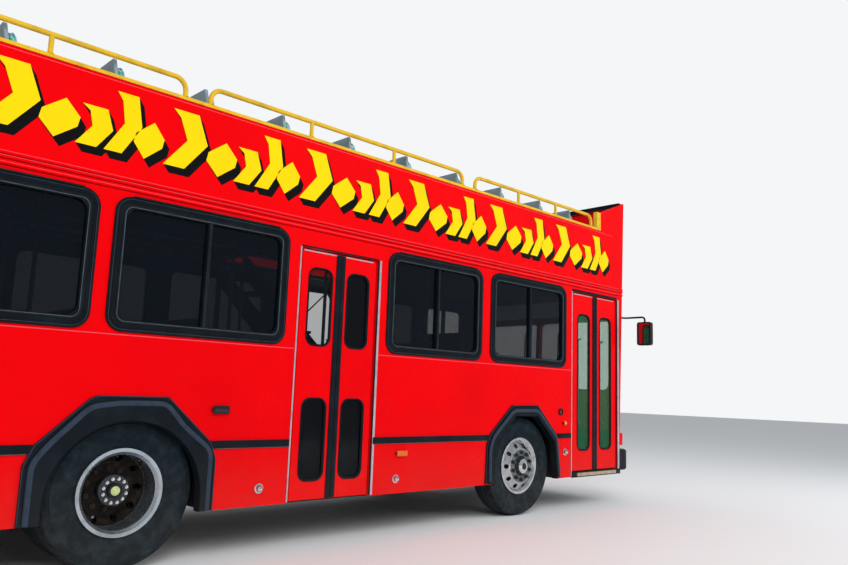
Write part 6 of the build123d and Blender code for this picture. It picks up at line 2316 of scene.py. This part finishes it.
@dataclass
class FrontFace:
    """Gaskets, wipers, grille, lamps, blank plates and mirrors' glass of the front.

    Args:
        lamps: Y, height and radius of the round lamps.
        turn_lamp: Y, height and radius of the turn lamps.
        pod: Inner and outer Y, foot and head of the corner lamp pods.
        pod_out: How far the pods stand out.
        pivot: Y and height of a wiper's pivot.
        hold: Y and height where its arm holds the blade.
        blade: Half the length of a wiper's blade.
        grille_box: Half width, foot and head of the grille.
        slats: Foot of the lowest slat, their pitch and their count.
        seams: Routes of the hatch seams.
        mirror_x: X of the mirrors' rear faces.
        mirror: Y, half width, foot and head of the mirrors' glass.
        clamp: Inner and outer Y, foot and head of the mirror arms' clamps.
        lip: How far a gasket reaches past its opening.
    """

    lamps: Points = ((1.080, 0.830, 0.080), (0.890, 0.830, 0.080))
    turn_lamp: tuple[float, float, float] = (1.150, 1.010, 0.040)
    pod: tuple[float, float, float, float] = (1.190, 1.272, 0.705, 0.855)
    pod_out: float = 0.112
    pivot: tuple[float, float] = (0.520, 1.335)
    hold: tuple[float, float] = (0.290, 1.800)
    blade: float = 0.360
    grille_box: tuple[float, float, float] = (0.620, 0.735, 0.925)
    slats: tuple[float, float, int] = (0.750, 0.0215, 8)
    seams: tuple[Points, ...] = (
        ((-1.200, 1.300, 0), (1.200, 1.300, 0)),
        ((-1.200, 2.330, 0), (1.200, 2.330, 0)),
        ((-0.700, 0.680, 0), (-0.700, 1.120, 0), (0.700, 1.120, 0), (0.700, 0.680, 0)),
    )
    mirror_x: float = along(6.500) - 0.030
    mirror: tuple[float, float, float, float] = (HALF_WIDTH + 0.235, 0.082, 1.989, 2.261)
    clamp: tuple[float, float, float, float] = (1.205, 1.265, 2.312, 2.368)
    lip: float = 0.022

    def build(self) -> None:
        """Dresses the whole front."""
        self.gaskets()
        self.wipers()
        self.grille()
        self.lamp_faces()
        self.mirror_glass()

    def gaskets(self) -> None:
        """Rubber round both panes of the windscreen and round the sign."""
        piece = Piece("front_gaskets", RUBBER)
        lip = self.lip
        half, foot, head = WINDSCREEN
        for low, high in ((-half, -SCREEN_POST / 2), (SCREEN_POST / 2, half)):
            outline = box_outline(low - lip, high + lip, foot - lip, head + lip)
            piece.add(rim_form(outline, SCREEN_CORNER + lip, PANE_RUBBER), front_place())
        half, foot, head = SIGN
        outline = box_outline(-half - lip, half + lip, foot - lip, head + lip)
        piece.add(rim_form(outline, SIGN_CORNER + lip, PANE_RUBBER), front_place())
        piece.build()

    def wipers(self) -> None:
        """Two wipers parked upright beside the post."""
        piece = Piece("wipers", BLACK_PLASTIC)
        place = front_place()
        boss = [(0.0, 0.046), (0.016, 0.044), (0.020, 0.030), (0.028, 0.024), (0.030, 0.0), (0.0, 0.0)]
        for side in (-1, 1):
            y, z = side * self.pivot[0], self.pivot[1]
            piece.add(turned_form(boss, 20), place @ Matrix.Translation((y, z, 0)))
            blade, middle = side * self.hold[0], self.hold[1]
            for shift in (-0.012, 0.012):
                start, end = (y + shift, z, 0.036), (blade + shift, middle, 0.030)
                piece.add(rod_form(start, end, 0.005, 8), place)
            for half, reach, foot, head, bevel in (
                (0.020, 0.015, 0.020, 0.036, 0.003),
                (0.006, self.blade, 0.014, 0.026, 0.002),
                (0.002, self.blade, 0.004, 0.016, 0.0008),
            ):
                low, high = (blade - half, middle - reach, foot), (blade + half, middle + reach, head)
                piece.add(box_form(low, high, bevel), place)
        piece.build()

    def grille(self) -> None:
        """Slatted grille between the head lamps, hatch seams and the blank plates."""
        piece = Piece("front_grille", BLACK_PLASTIC)
        place = front_place()
        half, foot, head = self.grille_box
        piece.add(plate_form(box_outline(-half, half, foot, head), 0.004, 0.020, 0.001), place)
        half -= 0.020
        foot, pitch, count = self.slats
        for row in range(count):
            z = foot + row * pitch
            piece.add(box_form((-half, z, 0.003), (half, z + 0.010, 0.013), 0.003), place)
        piece.build()
        seams = Piece("front_hatch_seams", RED_ENAMEL)
        for route in self.seams:
            seams.add(tube_form(bent(route, 0.02), 0.0035), place)
        seams.build()
        plates = Piece("blank_number_plates", PLATE_ENAMEL)
        outline = box_outline(-0.152, 0.152, 0.455, 0.605)
        for facing in (1, -1):
            place = upright_place(facing * BUMPER_TIP_X, facing)
            plates.add(plate_form(outline, 0.002, 0.012, 0.0006), place)
        plates.build()

    def lamp_faces(self) -> None:
        """Bezels and lenses of the head, turn and corner lamps."""
        bezel = Piece("front_lamp_bezels", CHROME)
        clear = Piece("head_lamp_lenses", WHITE_LENS)
        amber = Piece("front_amber_lenses", AMBER_LENS)
        pods = Piece("corner_lamp_pods", RED_ENAMEL)
        inner, outer, foot, head = self.pod
        place = front_place()
        for side in (-1, 1):
            for y, z, radius in self.lamps:
                lens_pair(bezel, clear, place @ Matrix.Translation((side * y, z, 0)), radius)
            y, z, radius = self.turn_lamp
            lens_pair(bezel, amber, place @ Matrix.Translation((side * y, z, 0)), radius)
            low, high = sorted((side * inner, side * outer))
            pods.add(box_form((low, foot, 0.0), (high, head, self.pod_out), 0.010), place)
            corner = (low + 0.010, foot + 0.015, self.pod_out - 0.002)
            amber.add(box_form(corner, (high - 0.010, head - 0.015, self.pod_out + 0.006), 0.003), place)
        for piece in (bezel, clear, amber, pods):
            piece.build()

    def mirror_glass(self) -> None:
        """Silvered glass with a thin rubber rim in both mirror heads, and the arms' clamps."""
        clamps = Piece("mirror_clamps", BLACK_PLASTIC)
        inner, outer, foot, head = self.clamp
        root = front_x((foot + head) / 2)
        for _, side in SIDES:
            low, high = sorted((side * inner, side * outer))
            clamps.add(box_form((root - 0.004, low, foot), (root + 0.036, high, head), 0.006))
        clamps.build()
        glass = Piece("mirror_glass", MIRROR_SILVER)
        rims = Piece("mirror_rims", RUBBER)
        place = upright_place(self.mirror_x, -1)
        out, half, foot, head = self.mirror
        rim, section = 0.003, [(0.002, 0.005), (0.004, 0.0), (0.002, -0.002)]
        for side in (-1, 1):
            low, high = -side * out - half, -side * out + half
            glass.add(plate_form(box_outline(low, high, foot, head), 0.002, 0.020), place)
            outline = box_outline(low - rim, high + rim, foot - rim, head + rim)
            rims.add(rim_form(outline, 0.022, section), place)
        glass.build()
        rims.build()


@dataclass
class RearFace:
    """Window gasket, engine door louvres, lamps, latches and exhaust of the rear.

    Args:
        lamps: Y, height and radius of each round lamp, with its colour.
        door_out: How far the engine door stands out of the wall.
        banks: Left edges of the louvre banks.
        louvre: Length of a louvre, height of the lowest, their pitch and their count.
        latches: X and height of the latches, either side.
        hinges: Places of the hinges, their height and half their length.
        lip: How far the gasket reaches past the window.
    """

    lamps: tuple[tuple[float, float, float, str], ...] = (
        (1.130, 0.760, 0.050, "white"), (1.130, 0.900, 0.050, "amber"), (1.130, 1.040, 0.050, "red"),
        (1.130, 2.590, 0.028, "red"),
    )
    door_out: float = 0.006
    banks: tuple[float, ...] = (-0.520, 0.0, 0.520)
    louvre: tuple[float, float, float, int] = (0.420, 0.745, 0.052, 9)
    latches: tuple[float, float] = (0.700, 0.695)
    hinges: tuple[tuple[float, ...], float, float] = ((-0.560, 0.0, 0.560), 1.262, 0.070)
    lip: float = 0.022

    def build(self) -> None:
        """Dresses the whole rear."""
        gasket = Piece("rear_gasket", RUBBER)
        half, foot, head = REAR_WINDOW
        lip = self.lip
        outline = box_outline(-half - lip, half + lip, foot - lip, head + lip)
        gasket.add(rim_form(outline, REAR_CORNER + lip, PANE_RUBBER), rear_place())
        gasket.build()
        self.louvres()
        self.door_fittings()
        self.lamp_faces()
        self.exhaust()

    def louvres(self) -> None:
        """Three banks of pressed louvres on the engine door."""
        piece = Piece("engine_door_louvres", RED_ENAMEL, "engine_door", 25.0)
        across = Matrix(((0, 0, -1, 0), (-1, 0, 0, 0), (0, 1, 0, 0), (0, 0, 0, 1)))
        length, foot, pitch, count = self.louvre
        for bank in self.banks:
            for row in range(count):
                middle = Matrix.Translation((bank + length / 2, foot + row * pitch, 0))
                wedge = plate_form([(0.0, 0.0), (0.034, 0.0), (0.030, 0.014), (0.024, 0.016)], length)
                piece.add(wedge, rear_place(self.door_out) @ middle @ across)
        piece.build()

    def door_fittings(self) -> None:
        """Quarter turn latches on the engine door and its hinges on the wall."""
        latches = Piece("engine_door_latches", CHROME, "engine_door")
        knob = [(0.0, 0.014), (0.014, 0.013), (0.020, 0.007), (0.022, 0.0), (0.0, 0.0)]
        x, z = self.latches
        for side in (-1, 1):
            place = rear_place(self.door_out) @ Matrix.Translation((side * x, z, 0))
            latches.add(turned_form(knob, 24), place)
        latches.build()
        hinges = Piece("engine_door_hinges", RED_ENAMEL)
        middles, z, half = self.hinges
        for x in middles:
            low, high = x - half, x + half
            hinges.add(rod_form((low, z, 0.006), (high, z, 0.006), 0.009, 14), rear_place())
            hinges.add(box_form((low, z, 0), (high, z + 0.050, 0.004), 0.0015), rear_place())
        hinges.build()

    def lamp_faces(self) -> None:
        """Bezels and lenses of the tail lamps."""
        bezel = Piece("tail_lamp_bezels", CHROME)
        lenses = {
            "white": Piece("reversing_lenses", WHITE_LENS),
            "amber": Piece("rear_amber_lenses", AMBER_LENS),
            "red": Piece("tail_red_lenses", RED_LENS),
        }
        for y, z, radius, colour in self.lamps:
            for side in (-1, 1):
                place = rear_place() @ Matrix.Translation((side * y, z, 0))
                lens_pair(bezel, lenses[colour], place, radius)
        for piece in (bezel, *lenses.values()):
            piece.build()

    def exhaust(self) -> None:
        """Open tail pipe under the left end of the rear bumper."""
        piece = Piece("tail_pipe", CAST_IRON)
        wall = [(0.043, 0.0), (0.050, 0.0), (0.050, 0.360), (0.043, 0.360)]
        place = rear_place(-0.330) @ Matrix.Translation((-0.820, 0.355, 0))
        piece.add(turned_form(wall, 28, closed=True), place)
        piece.build()


@dataclass
class UpperDeck:
    """Feet of the guard rail's posts and the stairwell's edges.

    Args:
        posts: Post places ahead of the rear axle.
        rear_posts: Post places across the rear.
        post_y: Y of the posts on the side panels.
        well: Edges of the stairwell: rear, front, inner and outer.
    """

    posts: tuple[float, ...] = (
        -2.560, -1.750, -0.770, 0.190, 0.400, 1.350, 2.305, 3.260, 3.455, 4.190, 4.890, 5.640,
    )
    rear_posts: tuple[float, ...] = (-1.180, -0.400, 0.400, 1.180)
    post_y: float = HALF_WIDTH - 0.0175
    well: tuple[float, float, float, float] = (along(1.900), along(3.560), 0.600, 1.255)

    def build(self) -> None:
        """Makes the fittings of the upper deck."""
        feet = Piece("rail_post_feet", YELLOW_ENAMEL)
        flange = [(0.0175, 0.0), (0.032, 0.0), (0.032, 0.004), (0.024, 0.005), (0.0175, 0.012)]
        places = [(along(distance), side * self.post_y) for _, side in SIDES for distance in self.posts]
        places += [(REAR_FACE_X + 0.020, y) for y in self.rear_posts]
        for x, y in places:
            feet.add(turned_form(flange, 20, closed=True), Matrix.Translation((x, y, COPING_TOP_Z)))
        feet.build()
        rear, front, inner, outer = self.well
        edge = Piece("stairwell_edge", MILL_ALUMINIUM)
        for low, high in (
            ((rear, inner - 0.030, 0), (rear + 0.003, outer, 0.006)),
            ((rear, inner - 0.030, 0), (front, inner, 0.006)),
            ((front - 0.003, inner - 0.030, 0), (front + 0.030, outer, 0.006)),
        ):
            edge.add(box_form(low, high, 0.002), Matrix.Translation((0, 0, UPPER_FLOOR_Z)))
        edge.build()


@dataclass
class Saloon:
    """Nosings, ceiling lights, dials, pedals and handrails of the lower deck, and the tanks under it.

    Args:
        doors: Edges of the door openings, ahead of the rear axle.
        steps: Outer edge and top of each step, from the door inward.
        treads: Count of the stair's treads.
        stair: Foot and head of the stair in X, and its Y range.
        dash_x: X of the dashboard's face.
        poles: Stanchions of each side, ahead of the rear axle.
        pole_y: Y of the stanchions beside the aisle.
        rail_z: Height of the grab rails.
        partition: Rear and front, inner and outer side and head of the partition.
        tanks: Ends ahead of the rear axle, Y, width and height of the tank and the battery box.
        drums: Ends ahead of the rear axle, Y and radius of the air drums.
        light_y: Y of the rows of lights, either side.
        lights: Start of the rows ahead of the rear axle, pitch, length and width of a light.
        gauges: Y of the middle gauge, pitch, height and count.
        switches: Y of the first switch, pitch, foot, head and count.
        pedals: Y and width of each pedal.
    """

    doors: tuple[tuple[float, float], ...] = ((1.312, 2.152), (5.220, 6.190))
    steps: tuple[tuple[float, float], ...] = ((0.980, 0.645), (0.690, FLOOR_Z))
    treads: int = 8
    stair: tuple[float, float, float, float] = (along(3.640), along(1.900), 0.640, 1.215)
    dash_x: float = front_x(1.385) - 0.390
    poles: dict[int, tuple[float, ...]] = field(default_factory=lambda: {
        -1: (-0.480, 1.170, 2.215, 3.640), 1: (-0.480, 1.760, 3.720),
    })
    pole_y: float = 0.420
    rail_z: float = 2.520
    partition: tuple[float, float, float, float, float] = (4.990, 5.005, 0.330, 1.2545, 2.080)
    tanks: Points = ((1.500, 2.700, 0.860, 0.520, 0.360), (-1.750, -1.150, -0.900, 0.480, 0.300))
    drums: tuple[float, float, float, float] = (1.250, 1.850, 0.200, 0.118)
    light_y: float = 0.780
    lights: tuple[float, float, float, float] = (-2.250, 1.020, 0.960, 0.110)
    gauges: tuple[float, float, float, int] = (0.760, 0.095, 1.290, 5)
    switches: tuple[float, float, float, float, int] = (0.400, 0.036, 1.238, 1.262, 9)
    pedals: Outline = ((0.860, 0.080), (0.740, 0.090))

    def build(self) -> None:
        """Dresses the saloon and the driver's place."""
        self.nosings()
        self.ceiling_lights()
        self.dials()
        self.foot_controls()
        self.handrails()
        self.underfloor()

    def handrails(self) -> None:
        """Stanchions and grab rails beside the aisle, and the partition behind the driver."""
        rails = Piece("saloon_handrails", BRUSHED_STEEL)
        for side, poles in self.poles.items():
            y = side * self.pole_y
            for pole in poles:
                rails.add(rod_form((along(pole), y, FLOOR_Z), (along(pole), y, CEILING_Z), 0.017))
            ends = [(along(pole), y, self.rail_z) for pole in (poles[0], poles[-1])]
            rails.add(rod_form(*ends, 0.016))
        rails.build()
        panel = Piece("driver_partition", BLACK_PLASTIC)
        rear, front, inner, outer, head = self.partition
        panel.add(box_form((along(rear), inner, FLOOR_Z + 0.0005), (along(front), outer, head), 0.004))
        panel.build()

    def underfloor(self) -> None:
        """Fuel tank, battery box and two air drums on hangers under the floor."""
        piece = Piece("underfloor_tanks", CHASSIS_BLACK)
        head_z = FLOOR_FOOT_Z - 0.045
        for x0, x1, y, width, height in self.tanks:
            low = (along(x0), y - width / 2, head_z - height)
            piece.add(box_form(low, (along(x1), y + width / 2, head_z), 0.030, 3))
            self.hangers(piece, x0, x1, y, width - 0.100, head_z)
        x0, x1, out, radius = self.drums
        axis_z = head_z - 0.120
        for y in (-out, out):
            piece.add(rod_form((along(x0), y, axis_z), (along(x1), y, axis_z), radius, 32))
            self.hangers(piece, x0, x1, y, 0.140, head_z - 0.030)
        piece.build()

    def hangers(self, piece: Piece, x0: float, x1: float, y: float, width: float, foot_z: float) -> None:
        """Two straps that hang a tank from the floor.

        Args:
            piece: Piece that takes the straps.
            x0: Rear end of the tank, ahead of the rear axle.
            x1: Front end of the tank.
            y: Middle of the tank across the bus.
            width: Length of the straps across the bus.
            foot_z: Height where they meet the tank.
        """
        for x in (along(x0 + 0.120), along(x1 - 0.120)):
            low = (x - 0.025, y - width / 2, foot_z - 0.020)
            piece.add(box_form(low, (x + 0.025, y + width / 2, FLOOR_FOOT_Z - 0.0005), 0.004))

    def nosings(self) -> None:
        """Ribbed aluminium nosings on the steps and on the stair."""
        piece = Piece("step_nosings", MILL_ALUMINIUM)
        for x0, x1 in self.doors:
            for y, top in self.steps:
                rear, front = along(x0) + 0.030, along(x1) - 0.030
                piece.add(box_form((rear, -y - 0.001, top), (front, -y + 0.045, top + 0.003), 0.001))
                for rib in range(3):
                    low = -y + 0.008 + rib * 0.012
                    rib_top = (front, low + 0.005, top + 0.0055)
                    piece.add(box_form((rear, low, top + 0.002), rib_top, 0.001))
        foot_x, head_x, low_y, high_y = self.stair
        going = (foot_x - head_x) / (self.treads + 1)
        rise = (UPPER_FLOOR_Z - FLOOR_Z) / (self.treads + 1)
        for step in range(1, self.treads + 1):
            edge = foot_x - step * going + (going + 0.040) / 2
            top = FLOOR_Z + step * rise
            piece.add(box_form((edge - 0.040, low_y, top), (edge + 0.002, high_y, top + 0.003), 0.001))
        piece.build()

    def ceiling_lights(self) -> None:
        """Two rows of long diffusers under the upper floor."""
        lights = Piece("ceiling_diffusers", WHITE_LENS)
        first, pitch, length, width = self.lights
        for side, last in ((-1, 7), (1, 4)):
            y = side * self.light_y
            for count in range(last):
                start = along(first) + count * pitch
                low = (start, y - width / 2, CEILING_Z - 0.028)
                high = (start + length, y + width / 2, CEILING_Z - 0.0005)
                lights.add(box_form(low, high, 0.012, 3))
        lights.build()

    def dials(self) -> None:
        """Round gauges with plain faces in the dashboard's lip, and a row of switches."""
        bezels = Piece("gauge_bezels", CHROME)
        faces = Piece("gauge_faces", PLATE_ENAMEL)
        switches = Piece("dash_switches", BLACK_PLASTIC)
        ring = [(0.034, 0.0), (0.042, 0.0), (0.042, 0.006), (0.036, 0.010), (0.034, 0.008)]
        disc = [(0.0, 0.003), (0.0345, 0.003), (0.0345, 0.0), (0.0, 0.0)]
        panel = upright_place(self.dash_x, -1)
        middle, pitch, z, last = self.gauges
        for count in range(last):
            y = -(middle + (count - last // 2) * pitch)
            place = panel @ Matrix.Translation((y, z, 0))
            bezels.add(turned_form(ring, 28, closed=True), place)
            faces.add(turned_form(disc, 28), place)
            pointer = box_form((-0.0015, -0.006, 0.003), (0.0015, 0.026, 0.005), 0.0006)
            switches.add(pointer, place @ Matrix.Rotation(0.7 - 0.3 * count, 4, "Z"))
        first, pitch, foot, head, last = self.switches
        for count in range(last):
            y = -(first + count * pitch)
            switches.add(box_form((y, foot, 0), (y + 0.022, head, 0.009), 0.003), panel)
        for piece in (bezels, faces, switches):
            piece.build()

    def foot_controls(self) -> None:
        """Ribbed pedals on the driver's toe board."""
        piece = Piece("pedals", BLACK_PLASTIC)
        for y, width in self.pedals:
            half = width / 2
            place = Matrix.Translation((front_x(FLOOR_Z) - 0.240, y, FLOOR_Z + 0.012))
            place @= Matrix.Rotation(math.radians(-50), 4, "Y")
            piece.add(box_form((0, -half, 0), (0.190, half, 0.012), 0.004), place)
            for rib in range(5):
                x = 0.030 + rib * 0.032
                low, high = (x, -half + 0.006, 0.010), (x + 0.010, half - 0.006, 0.017)
                piece.add(box_form(low, high, 0.002), place)
        piece.build()


def main() -> None:
    """Builds the studio and dresses the bus, piece by piece."""
    logging.basicConfig(level=logging.INFO, format="%(name)s %(message)s")
    Studio().build()
    dress_frame()
    LOG.info("frame nodes dressed")
    Frieze().build()
    PanelTrim().build()
    Windows().build()
    REAR_DOOR.build()
    FRONT_DOOR.build()
    Seats().build()
    FrontFace().build()
    RearFace().build()
    UpperDeck().build()
    Saloon().build()
    for arch in WHEEL_ARCHES:
        arch.build()
    SplashFlaps().build()
    for side_name, side in SIDES:
        Wheel("front", side_name, side, FRONT_AXLE_X, (0.0,)).build()
        Wheel("rear", side_name, side, REAR_AXLE_X, (0.0, DUAL_SPACING)).build()


if __name__ == "__main__":
    main()
